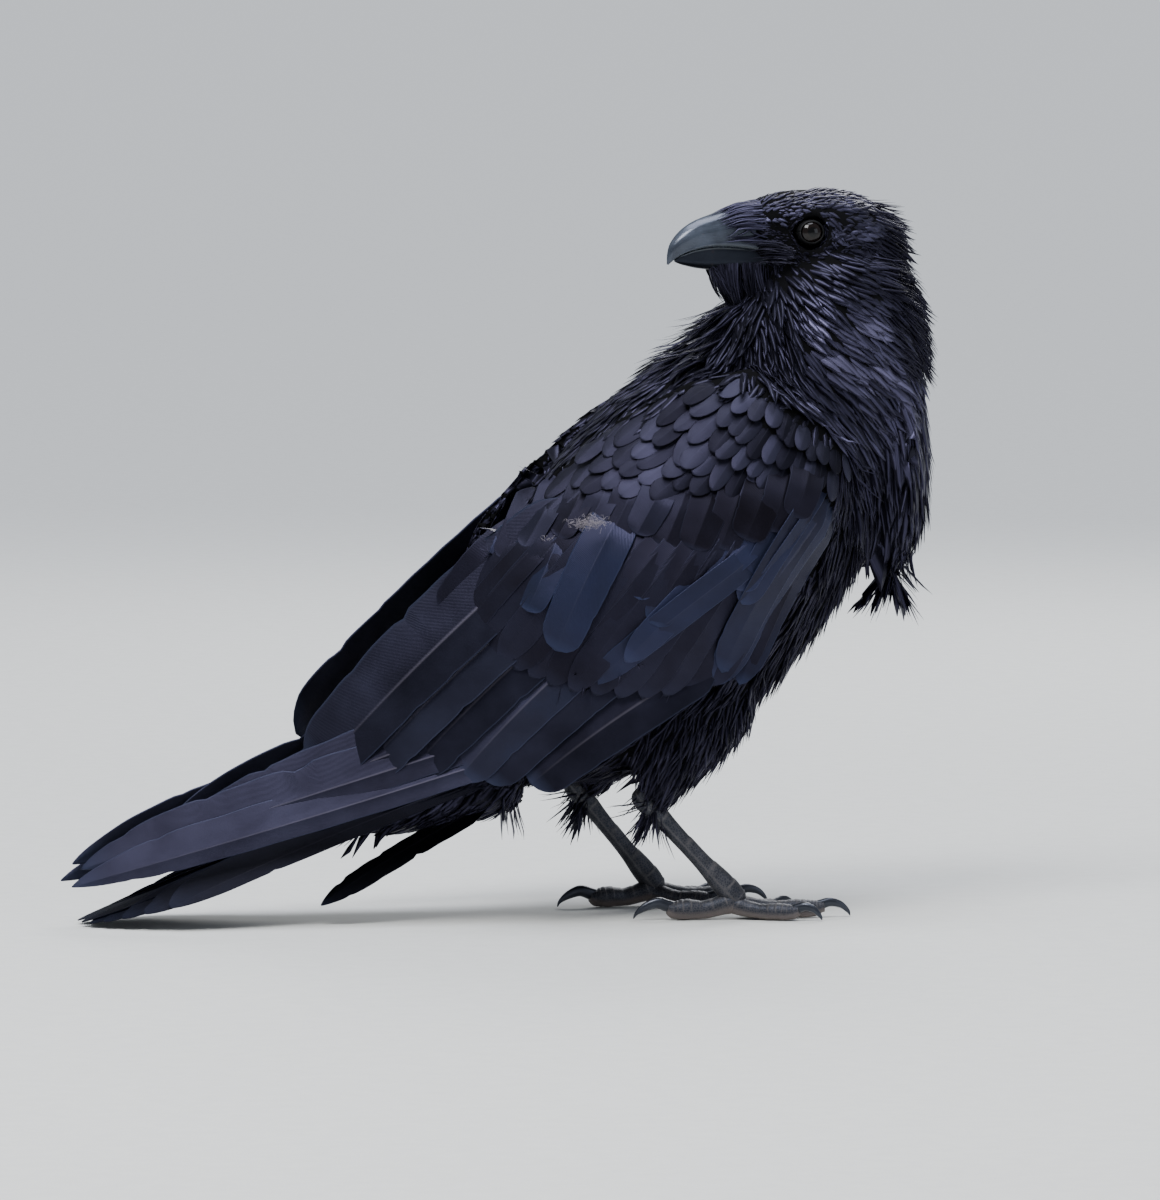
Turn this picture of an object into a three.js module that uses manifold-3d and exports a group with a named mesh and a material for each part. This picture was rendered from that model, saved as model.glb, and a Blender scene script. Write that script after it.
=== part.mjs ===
// A common raven (Corvus corax), life size, standing with its body steep and its head turned right
// round over the right shoulder, so that the bill points back along the body. Units are millimetres.
//
// The bird faces +X, +Z is up and its left side is +Y. The soles, the claw tips and the tail tip
// stand on Z = 0. Every solid gives the outline of the plumage, not of the bare skin under it.
import * as THREE from "three";
import { mergeVertices } from "three/addons/utils/BufferGeometryUtils.js";
import Module from "manifold-3d";

const wasm = await Module();
wasm.setup();

// ---- Driving dimensions ----------------------------------------------------------------------

const GAP = 0.45; // clearance between neighbouring pieces
const FACET = 0.3; // details smaller than this are dropped from a cut edge
const CENTRE_X = -94.7; // middle of the finished bird along X, which moves to the origin
const CENTRE_Y = 0;

const TAIL_LENGTH = 228;
const TAIL_SLOPE = 20.3; // the tail is held up from the body's line, so that its tip lies at the soles' level
const TAIL_ROOT = [-82, 0, 80];

const HEAD_AT = [46, 0, 320]; // middle of the head, at the height of the eyes
const HEAD_TURN = 191; // direction of the bill, degrees from +X
const EYE_RADIUS = 7.6;
const EYE_AT = [0, 17, 0]; // in the head's frame: forward, outward, up

const LEG_SPREAD = 35; // each foot's distance from the middle plane
const TOE_REACH = { middle: 43, inner: 31, outer: 32, hind: 29 };
const CLAW_REACH = { middle: 14, inner: 12, outer: 12, hind: 17 };

// ---- Small tools -----------------------------------------------------------------------------

const point = (p) => new THREE.Vector3(...p);
const radians = THREE.MathUtils.degToRad;
const lerp = THREE.MathUtils.lerp;

// A superellipse's coordinate: 2 is an ellipse, and more is squarer.
function squarer(value, power) {
  return Math.sign(value) * Math.abs(value) ** (2 / power);
}

// A closed body through rings of points that all have the same count. Each end is closed by
// triangles that run across the ring, which suits a crescent as well as an ellipse.
function throughRings(rings) {
  const count = rings[0].length;
  const end = (rings.length - 1) * count;
  const faces = [];
  for (let i = 0; i < rings.length - 1; i += 1) {
    for (let j = 0; j < count; j += 1) {
      const a = i * count + j;
      const b = i * count + ((j + 1) % count);
      faces.push(a, b, b + count, a, b + count, a + count);
    }
  }
  const across = (a, b, c) => faces.push(a, c, b, end + a, end + b, end + c);
  for (let low = 0, high = count - 1; high - low > 1; low += 1, high -= 1) {
    across(low, low + 1, high);
    if (high - low > 2) across(low + 1, high - 1, high);
  }
  return new THREE.BufferGeometry().setFromPoints(rings.flat()).setIndex(faces);
}

// A geometry as a manifold-3d solid with its faces outwards, fattened all round by `grow`.
function solid(geometry, grow = 0) {
  geometry.deleteAttribute("normal");
  geometry.deleteAttribute("uv");
  const merged = mergeVertices(geometry, 1e-3);
  const positions = merged.attributes.position;
  const make = (triVerts) =>
    new wasm.Manifold(new wasm.Mesh({ numProp: 3, vertProperties: positions.array, triVerts }));
  const index = new Uint32Array(merged.index.array);
  if (make(index).volume() < 0) index.reverse();
  if (!grow) return make(index);
  merged.setIndex([...index]);
  merged.computeVertexNormals();
  const normals = merged.attributes.normal;
  for (let i = 0; i < positions.count; i += 1) {
    const normal = new THREE.Vector3().fromBufferAttribute(normals, i);
    const moved = new THREE.Vector3().fromBufferAttribute(positions, i).addScaledVector(normal, grow);
    positions.setXYZ(i, moved.x, moved.y, moved.z);
  }
  return make(index);
}

// What is left of a shape after its neighbours are cut away, without the slivers a cut leaves behind.
function cut(shape, ...cutters) {
  const left = cutters.reduce((rest, cutter) => rest.subtract(cutter), shape).simplify(FACET);
  return left.decompose().reduce((best, next) => (next.volume() > best.volume() ? next : best));
}

function join(shapes) {
  return shapes.reduce((sum, next) => sum.add(next));
}

// A body swept through stations {at, half: [depth, width]}, with smooth curves between them. Each
// section is square to the path, and `side` is the direction of its width.
function sweep(stations, { side = [0, 1, 0], around = 24, steps = 1, grow = 0, power = 2 } = {}) {
  const path = new THREE.CatmullRomCurve3(stations.map((s) => point(s.at)));
  const sizes = new THREE.CatmullRomCurve3(stations.map((s) => point([...s.half, 0])));
  const count = (stations.length - 1) * steps;
  const rings = [];
  for (let i = 0; i <= count; i += 1) {
    const along = path.getTangent(i / count);
    const across = point(side).addScaledVector(along, -point(side).dot(along)).normalize();
    const up = new THREE.Vector3().crossVectors(along, across);
    const centre = path.getPoint(i / count);
    const size = sizes.getPoint(i / count);
    const ring = [];
    for (let j = 0; j < around; j += 1) {
      const angle = (2 * Math.PI * j) / around;
      const high = squarer(Math.cos(angle), power) * size.x;
      const wide = squarer(Math.sin(angle), power) * size.y;
      ring.push(centre.clone().addScaledVector(up, high).addScaledVector(across, wide));
    }
    rings.push(ring);
  }
  return solid(throughRings(rings), grow);
}

// One large feather as a thin blade: `root` and `tip` are the ends of its shaft, `facing` is the
// direction its outer face looks, and `bow` bends the shaft sideways in the feather's own plane.
function feather({ root, tip, width, facing, bow = 0, thick = 2, pointed = 0.5, grow = 0 }) {
  const shares = [0, 0.35, 0.88, 1];
  const widths = [0.4, 0.95, lerp(0.86, 0.7, pointed), 0.2];
  const start = point(root);
  const line = point(tip).sub(start);
  const across = new THREE.Vector3().crossVectors(line, point(facing)).normalize();
  const out = new THREE.Vector3().crossVectors(across, line).normalize();
  const rings = shares.map((share, i) => {
    const centre = start.clone().addScaledVector(line, share + ((share - 0.5) * 3 * grow) / line.length());
    centre.addScaledVector(across, bow * 4 * share * (1 - share));
    const half = (width * widths[i]) / 2 + 2 * grow;
    const deep = (thick / 2) * (share === 1 ? 0.6 : 1) + grow;
    const corners = [[-1, 0.4], [0, 1], [1, 0.4], [1, -0.4], [0, -1], [-1, -0.4]];
    return corners.map(([x, y]) =>
      centre.clone().addScaledVector(across, x * half).addScaledVector(out, y * deep),
    );
  });
  return solid(throughRings(rings));
}

const below = (() => {
  const box = new THREE.BoxGeometry(900, 400, 40);
  box.translate(-100, 0, -20);
  return solid(box);
})();

// ---- Trunk, neck and throat ------------------------------------------------------------------

// The trunk's axis climbs from the tail's root to the shoulders. Half sizes are depth, then width.
const TRUNK = [
  { at: [-106, 0, 66], half: [7, 9] },
  { at: [-101, 0, 72], half: [15, 18] },
  { at: [-90, 0, 81], half: [29, 30] },
  { at: [-74, 0, 95], half: [48, 44] },
  { at: [-55, 0, 115], half: [63, 54] },
  { at: [-35, 0, 136], half: [74, 60] },
  { at: [-12, 0, 166], half: [78, 63] },
  { at: [12, 0, 196], half: [76, 62] },
  { at: [33, 0, 219], half: [69, 58] },
  { at: [46, 0, 233], half: [52, 47] },
  { at: [55, 0, 243], half: [20, 20] },
];

// The neck is drawn in and its feathers stand out, so it is nearly as thick as it is long.
const NECK = [
  { at: [12, 0, 196], half: [58, 50] },
  { at: [28, 0, 216], half: [64, 54] },
  { at: [41, 0, 235], half: [65, 53] },
  { at: [52, 0, 255], half: [60, 49] },
  { at: [58, 0, 274], half: [56, 46] },
  { at: [60, 0, 290], half: [50, 41] },
  { at: [58, 0, 302], half: [42, 34] },
  { at: [56, 0, 314], half: [26, 22] },
];

// The long throat feathers hang over the breast as a beard.
const BEARD = [
  { at: [84, 0, 274], half: [14, 26] },
  { at: [86, 0, 262], half: [24, 38] },
  { at: [88, 0, 232], half: [24, 42] },
  { at: [91, 0, 204], half: [22, 39] },
  { at: [93, 0, 181], half: [17, 31] },
  { at: [92, 0, 164], half: [9, 18] },
  { at: [91, 0, 155], half: [2, 5] },
];

const trunkSweep = (grow = 0) => sweep(TRUNK, { grow, around: 16, power: 2.15 });
const neckSweep = (grow = 0) =>
  join([
    sweep(NECK, { grow, around: 16 }),
    sweep(BEARD, { grow, around: 9 }),
  ]);

// ---- Head, bill and eyes, in the head's own frame: forward, left, up ---------------------------

const HEAD = [
  { at: [29, 0, -2], half: [9, 8] },
  { at: [26, 0, -2], half: [15, 12.5] },
  { at: [18, 0, -0.5], half: [19.5, 17] },
  { at: [8, 0, -1], half: [23, 20.5] },
  { at: [-5, 0, -3], half: [25.5, 23.5] },
  { at: [-18, 0, -4], half: [26.5, 26] },
  { at: [-30, 0, -6], half: [24.5, 25.5] },
  { at: [-42, 0, -9], half: [20, 21] },
  { at: [-51, 0, -11], half: [12, 13] },
  { at: [-54, 0, -12], half: [4, 5] },
];

const UPPER_BILL = [
  { at: [20, 0, 1.6], half: [11.5, 10.5] },
  { at: [33, 0, 1.7], half: [9.6, 8.7] },
  { at: [43, 0, 0.5], half: [7.6, 7.3] },
  { at: [50, 0, -1], half: [6.5, 6] },
  { at: [56, 0, -3.6], half: [5.4, 4.8] },
  { at: [60.8, 0, -7], half: [3.9, 3.4] },
  { at: [63.8, 0, -10.8], half: [2.2, 1.9] },
  { at: [65.8, 0, -14.6], half: [0.4, 0.4] },
];

const LOWER_BILL = [
  { at: [18, 0, -13.6], half: [5.4, 10] },
  { at: [32, 0, -12.6], half: [5.1, 8] },
  { at: [43, 0, -12.2], half: [5.2, 6.5] },
  { at: [52, 0, -12.3], half: [4.1, 4.9] },
  { at: [58.5, 0, -12.8], half: [2.2, 3] },
  { at: [62, 0, -13.1], half: [0.7, 1.2] },
];

function placeHead(shape) {
  return shape.rotate([0, 0, HEAD_TURN]).translate(HEAD_AT);
}

function eyeball(side, grow = 0) {
  const ball = new THREE.SphereGeometry(EYE_RADIUS, 10, 6);
  ball.translate(EYE_AT[0], EYE_AT[1] * side, EYE_AT[2]);
  return solid(ball, grow);
}

const headSweep = (grow = 0) => sweep(HEAD, { grow, around: 16, power: 2.1 });
const upperSweep = (grow = 0) => sweep(UPPER_BILL, { grow, around: 10 });
const lowerSweep = (grow = 0) => sweep(LOWER_BILL, { grow, around: 10 });

// ---- Wings -----------------------------------------------------------------------------------

// The shield of coverts and shoulder feathers, from the bend of the wing backwards. Each station
// runs from an upper edge to a lower edge [x, outward, z], and bulges outwards between them.
const SHIELD = [
  { top: [52, 42, 240], low: [65, 45, 218], bulge: 47, deep: 6 },
  { top: [40, 42, 249], low: [63, 50, 206], bulge: 57, deep: 14 },
  { top: [14, 45, 259], low: [56, 57, 178], bulge: 67, deep: 24 },
  { top: [-17, 43, 254], low: [35, 61, 149], bulge: 72, deep: 26 },
  { top: [-49, 35, 236], low: [9, 62, 125], bulge: 74, deep: 26 },
  { top: [-77, 28, 212], low: [-24, 61, 108], bulge: 72, deep: 24 },
  { top: [-98, 26, 186], low: [-58, 57, 110], bulge: 65, deep: 16 },
  { top: [-106, 30, 166], low: [-84, 50, 124], bulge: 55, deep: 7 },
];

// Shafts of the flight feathers: root and tip as [x, outward, z]. `tilt` turns a feather's face
// upwards. The arm's feathers start with the innermost, which lies on top; the hand's lie below them.
const ARM = [
  { root: [-58, 51, 196], tip: [-189, 22, 68], width: 40, bow: -4, tilt: 0.75 },
  { root: [-52, 55, 180], tip: [-170, 29, 68], width: 38, bow: -4, tilt: 0.6 },
  { root: [-42, 58, 168], tip: [-148, 35, 69], width: 36, bow: -4, tilt: 0.5 },
  { root: [-34, 61, 154], tip: [-125, 42, 68], width: 33, bow: -4, tilt: 0.4 },
  { root: [-25, 63, 142], tip: [-112, 46, 67], width: 32, bow: -4, tilt: 0.3 },
  { root: [-4, 66, 126], tip: [-92, 51, 66], width: 34, bow: -3, tilt: 0.25 },
];
const HAND = [
  { root: [-62, 50, 122], tip: [-206, 22, 48], width: 27, bow: -3, tilt: 0.3 },
  { root: [-56, 51, 114], tip: [-256, 17, 38], width: 26, bow: -3, tilt: 0.3 },
  { root: [-50, 52, 106], tip: [-297, 13, 27], width: 24, bow: 0, tilt: 0.3 },
  { root: [-44, 53, 98], tip: [-302, 16, 19], width: 21, bow: 2, tilt: 0.3 },
];
const STACKED = 0.6; // the share of its length over which each feather rests on the next

// The far wing is held a little higher behind the shoulder than the near one.
const WING_LIFT = { right: 0, left: 16 };
const LIFT_FROM = -90;
const LIFT_FULL = -190;
const WING_BOW = { right: 1, left: -0.5 }; // the far wing's feathers bend the other way

function lifted([x, y, z], wing, side) {
  const share = THREE.MathUtils.smoothstep(-x, -LIFT_FROM, -LIFT_FULL);
  return [x, y * side, z + WING_LIFT[wing] * share];
}

function shield(wing, side, grow = 0) {
  const count = 7;
  const rings = SHIELD.map(({ top, low, bulge, deep }, i) => {
    const next = SHIELD[i === 0 ? 1 : i - 1];
    const isEnd = i === 0 || i === SHIELD.length - 1;
    const beyond = (edge, from) => point(edge).sub(point(from)).setLength(grow);
    const still = point([0, 0, 0]);
    const high = point(top).add(isEnd ? beyond(top, next.top) : still);
    const deepest = point(low).add(isEnd ? beyond(low, next.low) : still);
    const outer = [];
    const inner = [];
    for (let j = 0; j <= count; j += 1) {
      const v = j / count;
      const flat = high.clone().lerp(deepest, v);
      const wide = flat.clone().add(beyond(low, top).multiplyScalar(2 * v - 1));
      const out = (1 - Math.abs(2 * v - 1) ** 3.2) * (bulge - (top[1] + low[1]) / 2);
      const thick = 2.5 + (deep - 2.5) * Math.sin(Math.PI * v);
      outer.push(point(lifted([wide.x, wide.y + out + grow, wide.z], wing, side)));
      inner.push(point(lifted([flat.x, flat.y + out - thick - grow, flat.z], wing, side)));
    }
    return [...outer, ...inner.reverse()];
  });
  return solid(throughRings(rings));
}

// A folded stack of flight feathers, each resting on the next.
function stack(list, wing, side, grow = 0) {
  const lift = list === HAND ? "right" : wing;
  const blade = ({ root, tip, width, bow, tilt }, share = 1) => {
    const start = lifted(root, lift, side);
    const end = lifted(tip, lift, side);
    return feather({
      root: start,
      tip: start.map((value, k) => lerp(value, end[k], share)),
      width,
      bow: bow * WING_BOW[lift] * side * share,
      facing: [0, side, tilt],
      thick: 2.4,
      grow,
    });
  };
  const between = list
    .slice(1)
    .map((next, i) => wasm.Manifold.hull([blade(list[i], STACKED), blade(next, STACKED)]));
  return join([...list.map((one) => blade(one)), ...between]);
}

// ---- Tail ------------------------------------------------------------------------------------

// The tail feathers lie in a closed, wedge-shaped fan. The middle pair lies on top and is longest.
const TAIL_FEATHERS = 8;
const TAIL_FAN = 6; // half angle of the fan, degrees
const TAIL_SHORTENING = 38; // the outermost feathers end this far short of the middle ones
const TAIL_STEP = 1.2; // each feather lies this much under its inner neighbour

function tailFeathers(grow = 0) {
  const shapes = [];
  for (let i = 0; i < TAIL_FEATHERS; i += 1) {
    const side = i % 2 ? -1 : 1;
    const place = Math.floor(i / 2) / (TAIL_FEATHERS / 2 - 1);
    const turn = radians(TAIL_FAN * place * side + side);
    const length = TAIL_LENGTH - TAIL_SHORTENING * place ** 1.6;
    const slope = radians(TAIL_SLOPE - 0.6 * place);
    const root = [TAIL_ROOT[0], side * (2 + 12 * place), TAIL_ROOT[2] - TAIL_STEP * 5 * place];
    const tip = [
      root[0] - length * Math.cos(slope) * Math.cos(turn),
      root[1] + length * Math.sin(turn),
      root[2] - length * Math.sin(slope),
    ];
    const facing = [0.3, side * 0.35 * place, 1];
    shapes.push(feather({ root, tip, width: 29, facing, thick: 2.6, pointed: 0.35, grow }));
  }
  return join(shapes);
}

const TAIL_COVERTS = [
  { at: [-92, 0, 70], half: [20, 26] },
  { at: [-108, 0, 61], half: [19, 25] },
  { at: [-128, 0, 53], half: [14, 21] },
  { at: [-148, 0, 46], half: [9, 15] },
  { at: [-166, 0, 40], half: [3, 6] },
];

const RUMP_RINGS = { around: 10 };

// One outer tail feather has slipped, and hangs under the rest.
const LOOSE_FEATHER = { root: [-104, -14, 54], tip: [-186, -24, 9], width: 17 };

// ---- Legs ------------------------------------------------------------------------------------

const LEGS = {
  right: { side: -1, ankle: [-34, 56], foot: [7, 12.5] },
  left: { side: 1, ankle: [-52, 56], foot: [-16, 12.5] },
};

function thigh({ side, ankle }, grow = 0) {
  const y = side * LEG_SPREAD;
  const [x, z] = ankle;
  return sweep(
    [
      { at: [x + 34, y * 0.8, z + 64], half: [28, 17] },
      { at: [x + 26, y * 0.9, z + 43], half: [30, 19] },
      { at: [x + 15, y, z + 23], half: [23, 17] },
      { at: [x + 7, y, z + 6], half: [14, 12] },
      { at: [x + 6, y, z - 6], half: [6.4, 6] },
    ],
    { grow, around: 10 },
  );
}

function tarsus({ side, ankle, foot }, grow = 0) {
  const y = side * LEG_SPREAD;
  const along = (share) => [lerp(ankle[0], foot[0], share), y, lerp(ankle[1], foot[1], share)];
  return sweep(
    [
      { at: along(-0.03), half: [5, 4.2] },
      { at: along(0.08), half: [5.2, 4.3] },
      { at: along(0.3), half: [4, 3.3] },
      { at: along(0.65), half: [4, 3.4] },
      { at: along(0.9), half: [5.6, 5] },
      { at: along(1.05), half: [5.4, 5.4] },
    ],
    { grow, around: 8 },
  );
}

// A toe lies on its pads. Its claw leaves the end, arches up and comes down to the ground.
const TOES = {
  middle: { turn: 2, radius: 4.4 },
  inner: { turn: -32, radius: 4 },
  outer: { turn: 27, radius: 4 },
  hind: { turn: 184, radius: 4.6 },
};

function toePath({ side, foot }, toe) {
  const turn = radians(TOES[toe].turn * side);
  const start = [foot[0], side * LEG_SPREAD];
  return (reach, height, lean = 0) => [
    start[0] + reach * Math.cos(turn) - lean * Math.sin(turn),
    start[1] + reach * Math.sin(turn) + lean * Math.cos(turn),
    height,
  ];
}

function toeSide({ side }, toe) {
  const turn = radians(TOES[toe].turn * side);
  return [-Math.sin(turn), Math.cos(turn), 0];
}

function toeShape(leg, toe, grow = 0) {
  const at = toePath(leg, toe);
  const reach = TOE_REACH[toe];
  const r = TOES[toe].radius;
  const pads = toe === "hind" ? [1.1, 0.9, 1.12, 0.95, 0.5] : [1.1, 0.88, 1, 0.86, 0.5];
  const places = [0.04, 0.42, 0.72, 0.9, 1.02];
  const heights = [r + 2.5, r - 0.4, r - 0.6, r - 0.5, r + 0.4];
  const stations = places.map((share, i) => ({
    at: at(reach * share, heights[i]),
    half: [r * pads[i], r * pads[i]],
  }));
  return sweep(stations, { side: toeSide(leg, toe), grow, around: 6 });
}

function clawShape(leg, toe) {
  const at = toePath(leg, toe);
  const start = TOE_REACH[toe];
  const reach = CLAW_REACH[toe];
  const r = TOES[toe].radius;
  const big = toe === "hind" ? 1.25 : 1;
  return sweep(
    [
      { at: at(start - 2, r + 0.9), half: [2.3 * big, 1.7 * big] },
      { at: at(start + reach * 0.3, r + 2.4 * big), half: [2.2 * big, 1.6 * big] },
      { at: at(start + reach * 0.68, r + 1.1), half: [1.6 * big, 1.15 * big] },
      { at: at(start + reach * 0.95, r - 2.2), half: [0.95, 0.7] },
      { at: at(start + reach, 0.3), half: [0.35, 0.3] },
    ],
    { side: toeSide(leg, toe), around: 5 },
  );
}

// ---- Materials -------------------------------------------------------------------------------

const material = (color, roughness) => new THREE.MeshStandardMaterial({ color, roughness, metalness: 0 });
const PLUMAGE = material(0x1c1c24, 0.6);
const FLIGHT = material(0x1b1e2b, 0.5);
const HORN = material(0x23252b, 0.35);
const EYE = material(0x120c0a, 0.05);
const SCALES = material(0x33343a, 0.7);

// ---- The bird --------------------------------------------------------------------------------

const raven = new THREE.Group();
raven.position.set(-CENTRE_X, -CENTRE_Y, 0);

function add(name, shape, finish) {
  const made = shape.getMesh();
  const geometry = new THREE.BufferGeometry();
  geometry.setAttribute("position", new THREE.BufferAttribute(made.vertProperties, 3));
  geometry.setIndex(new THREE.BufferAttribute(made.triVerts, 1));
  const mesh = new THREE.Mesh(geometry, finish);
  mesh.name = name;
  raven.add(mesh);
}

const trunk = trunkSweep();
const trunkSpace = trunkSweep(GAP);
const headSpace = placeHead(join([headSweep(GAP), upperSweep(GAP), lowerSweep(GAP)]));
const neckSpace = neckSweep(GAP);
const rumpSpace = sweep(TAIL_COVERTS, { ...RUMP_RINGS, grow: GAP });

add("trunk", trunk, PLUMAGE);
add("neck", cut(neckSweep(), trunkSpace, headSpace), PLUMAGE);

const head = cut(headSweep(), eyeball(1, GAP), eyeball(-1, GAP));
add("head", placeHead(head), PLUMAGE);
add("bill_upper", placeHead(cut(upperSweep(), headSweep(GAP))), HORN);
add("bill_lower", placeHead(cut(lowerSweep(), headSweep(GAP), upperSweep(GAP))), HORN);
add("eye_left", placeHead(eyeball(1)), EYE);
add("eye_right", placeHead(eyeball(-1)), EYE);

const tail = cut(tailFeathers(), trunkSpace, rumpSpace, below);
const tailSpace = tailFeathers(GAP);
add("tail_coverts", cut(sweep(TAIL_COVERTS, RUMP_RINGS), trunkSpace, below), PLUMAGE);
add("tail", tail, FLIGHT);
const loose = { ...LOOSE_FEATHER, facing: [0.3, -0.3, 1], thick: 2.4 };
add("tail_loose", cut(feather(loose), trunkSpace, rumpSpace, tailSpace, below), FLIGHT);

const body = [trunkSpace, neckSpace, rumpSpace, tailSpace];
for (const [name, side] of Object.entries({ right: -1, left: 1 })) {
  const shieldSpace = shield(name, side, 2 * GAP);
  const armSpace = stack(ARM, name, side, GAP);
  const leg = LEGS[name];
  add(`wing_${name}_shield`, cut(shield(name, side), ...body), PLUMAGE);
  add(`wing_${name}_secondaries`, cut(stack(ARM, name, side), shieldSpace, ...body), FLIGHT);
  const hand = cut(stack(HAND, name, side), armSpace, shieldSpace, ...body, below);
  add(`wing_${name}_primaries`, hand, FLIGHT);

  const wingSpace = [shieldSpace, armSpace, stack(HAND, name, side, GAP)];
  const shank = tarsus(leg, GAP);
  const toes = Object.keys(TOES).map((toe) => toeShape(leg, toe));
  const toesSpace = join(Object.keys(TOES).map((toe) => toeShape(leg, toe, GAP)));
  add(`thigh_${name}`, cut(thigh(leg), ...body, ...wingSpace), PLUMAGE);
  add(`tarsus_${name}`, cut(tarsus(leg), thigh(leg, GAP), trunkSpace), SCALES);
  add(`foot_${name}`, cut(join(toes), shank, below), SCALES);
  for (const toe of Object.keys(TOES)) {
    add(`claw_${name}_${toe}`, cut(clawShape(leg, toe), toesSpace, below), HORN);
  }
}

export default raven;
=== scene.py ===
"""A common raven (Corvus corax) at life size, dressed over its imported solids.

Sizes are millimetres in the bird's own frame: it faces +X, its left side is +Y and the soles stand
on Z = 0. `to_model` moves them to the model's frame in metres. The head has a frame of its own:
forward along the bill, left and up.
"""

import logging
import math
from dataclasses import dataclass, field
from enum import Enum
from functools import partial
from typing import Any, Callable, Sequence

import bmesh
import bpy
import numpy as np
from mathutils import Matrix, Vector
from mathutils.bvhtree import BVHTree
from mathutils.kdtree import KDTree


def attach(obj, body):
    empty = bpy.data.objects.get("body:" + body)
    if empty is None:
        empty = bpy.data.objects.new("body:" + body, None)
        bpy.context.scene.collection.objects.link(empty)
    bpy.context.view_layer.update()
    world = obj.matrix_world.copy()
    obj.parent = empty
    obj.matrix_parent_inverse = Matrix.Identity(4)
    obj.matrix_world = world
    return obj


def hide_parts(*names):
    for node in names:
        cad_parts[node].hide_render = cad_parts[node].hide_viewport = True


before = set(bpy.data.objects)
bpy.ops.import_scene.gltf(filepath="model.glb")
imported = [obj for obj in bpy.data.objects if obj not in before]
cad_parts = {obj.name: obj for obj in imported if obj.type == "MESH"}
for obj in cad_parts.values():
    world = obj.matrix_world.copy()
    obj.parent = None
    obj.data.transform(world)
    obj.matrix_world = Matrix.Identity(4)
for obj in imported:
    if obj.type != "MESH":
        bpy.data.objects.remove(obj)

log = logging.getLogger("raven")

Array = np.ndarray
Place = tuple[float, ...]
Stops = Sequence[tuple[float, str]]
# A size everywhere the same, or by place.
Size = float | Callable[[Array], Array]

MM = 0.001
CENTRE = np.array([-94.7, 0.0, 0.0])
BODY = "root"
BAKE_MAP = "OFBake"
BAKE_PATCH = 0.003

HEAD_AT = np.array([46.0, 0.0, 320.0])
HEAD_TURN = math.radians(191)
FORWARD = np.array([math.cos(HEAD_TURN), math.sin(HEAD_TURN), 0.0])
LEFT = np.array([-math.sin(HEAD_TURN), math.cos(HEAD_TURN), 0.0])
UP = np.array([0.0, 0.0, 1.0])
EYE_RADIUS = 7.0
EYE_AT = (0.0, 14.8, 0.0)
# No feathers grow within this distance of the eye's middle.
EYE_BARE = 6.1

BODY_LIE = np.array([-0.674, 0.0, -0.738])
BODY_MIDDLE = np.array([-12.0, 0.0, 166.0])
BODY_FRONT = np.array([0.738, 0.0, -0.674])
NECK_AXIS = np.array([57.0, 0.0])
# How far off the wing's plane a ray starts that looks for its surface.
RAY_FROM = 140.0
# Nothing that lies on the floor goes through it.
FLOOR = 0.02


class Slot(str, Enum):
    """The record's material slots."""

    PLUMAGE = "plumage"
    FLIGHT = "flight_feather"
    HORN = "bill_horn"
    EYE = "eye"
    SCALE = "leg_scale"
    CLAW = "claw_horn"


class Side(Enum):
    """A side of the bird, with the sign of its Y."""

    RIGHT = -1
    LEFT = 1

    @property
    def label(self) -> str:
        """The side's name in the names of pieces."""
        return self.name.lower()


# The far wing lies a little higher behind the shoulder.
WING_LIFT = {Side.RIGHT: 0.0, Side.LEFT: 16.0}


# ---- Numbers and directions ------------------------------------------------------------------


def to_model(points: Array) -> Array:
    """Moves points from the bird's frame, in millimetres, to the model's frame in metres."""
    return (np.asarray(points, float) - CENTRE) * MM


def to_bird(points: Array) -> Array:
    """Moves points from the model's frame, in metres, to the bird's frame in millimetres."""
    return np.asarray(points, float) / MM + CENTRE


def from_head(points: Array) -> Array:
    """Moves points from the head's frame to the bird's frame."""
    points = np.asarray(points, float)
    return HEAD_AT + points[..., 0:1] * FORWARD + points[..., 1:2] * LEFT + points[..., 2:3] * UP


def in_head(points: Array) -> Array:
    """Moves points from the bird's frame to the head's frame."""
    away = np.asarray(points, float) - HEAD_AT
    return np.stack([away @ FORWARD, away @ LEFT, away @ UP], axis=-1)


def smoothstep(low: float, high: float, value: Array | float) -> Array | float:
    """Rises smoothly from 0 at `low` to 1 at `high`."""
    t = np.clip((np.asarray(value, float) - low) / (high - low), 0, 1)
    return t * t * (3 - 2 * t)


def bell(*gaps: Array) -> Array:
    """A bell curve, 1 where every gap is 0; each gap is counted in widths of the bell."""
    return np.exp(-sum(gap**2 for gap in gaps))


def unit(vectors: Array) -> Array:
    """Scales vectors to length 1."""
    vectors = np.asarray(vectors, float)
    return vectors / np.maximum(np.linalg.norm(vectors, axis=-1, keepdims=True), 1e-9)


def lerp(start: Any, end: Any, share: Any) -> Any:
    """The value at `share` of the way from `start` to `end`."""
    return start + (end - start) * share


def from_ridge(angle: Array) -> Array:
    """How far an angle is from 0, the upper side of a swept section, to either side."""
    return np.abs((angle + np.pi) % (2 * np.pi) - np.pi)


def smooth_curve(knots: Array, shares: Array) -> Array:
    """Samples a Catmull-Rom curve.

    Args:
        knots: Rows of values that the curve passes through.
        shares: Where to sample it, from 0 at the first knot to 1 at the last.

    Returns:
        One row of values for each share.
    """
    knots = np.asarray(knots, float)
    count = len(knots) - 1
    padded = np.vstack([2 * knots[0] - knots[1], knots, 2 * knots[-1] - knots[-2]])
    at = np.clip(np.asarray(shares, float) * count, 0, count - 1e-6)
    i = at.astype(int)
    t = (at - i)[:, None]
    a, b, c, d = (padded[i + k] for k in range(4))
    return 0.5 * (2 * b + (c - a) * t + (2 * a - 5 * b + 4 * c - d) * t**2 + (3 * b - a - 3 * c + d) * t**3)


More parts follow.
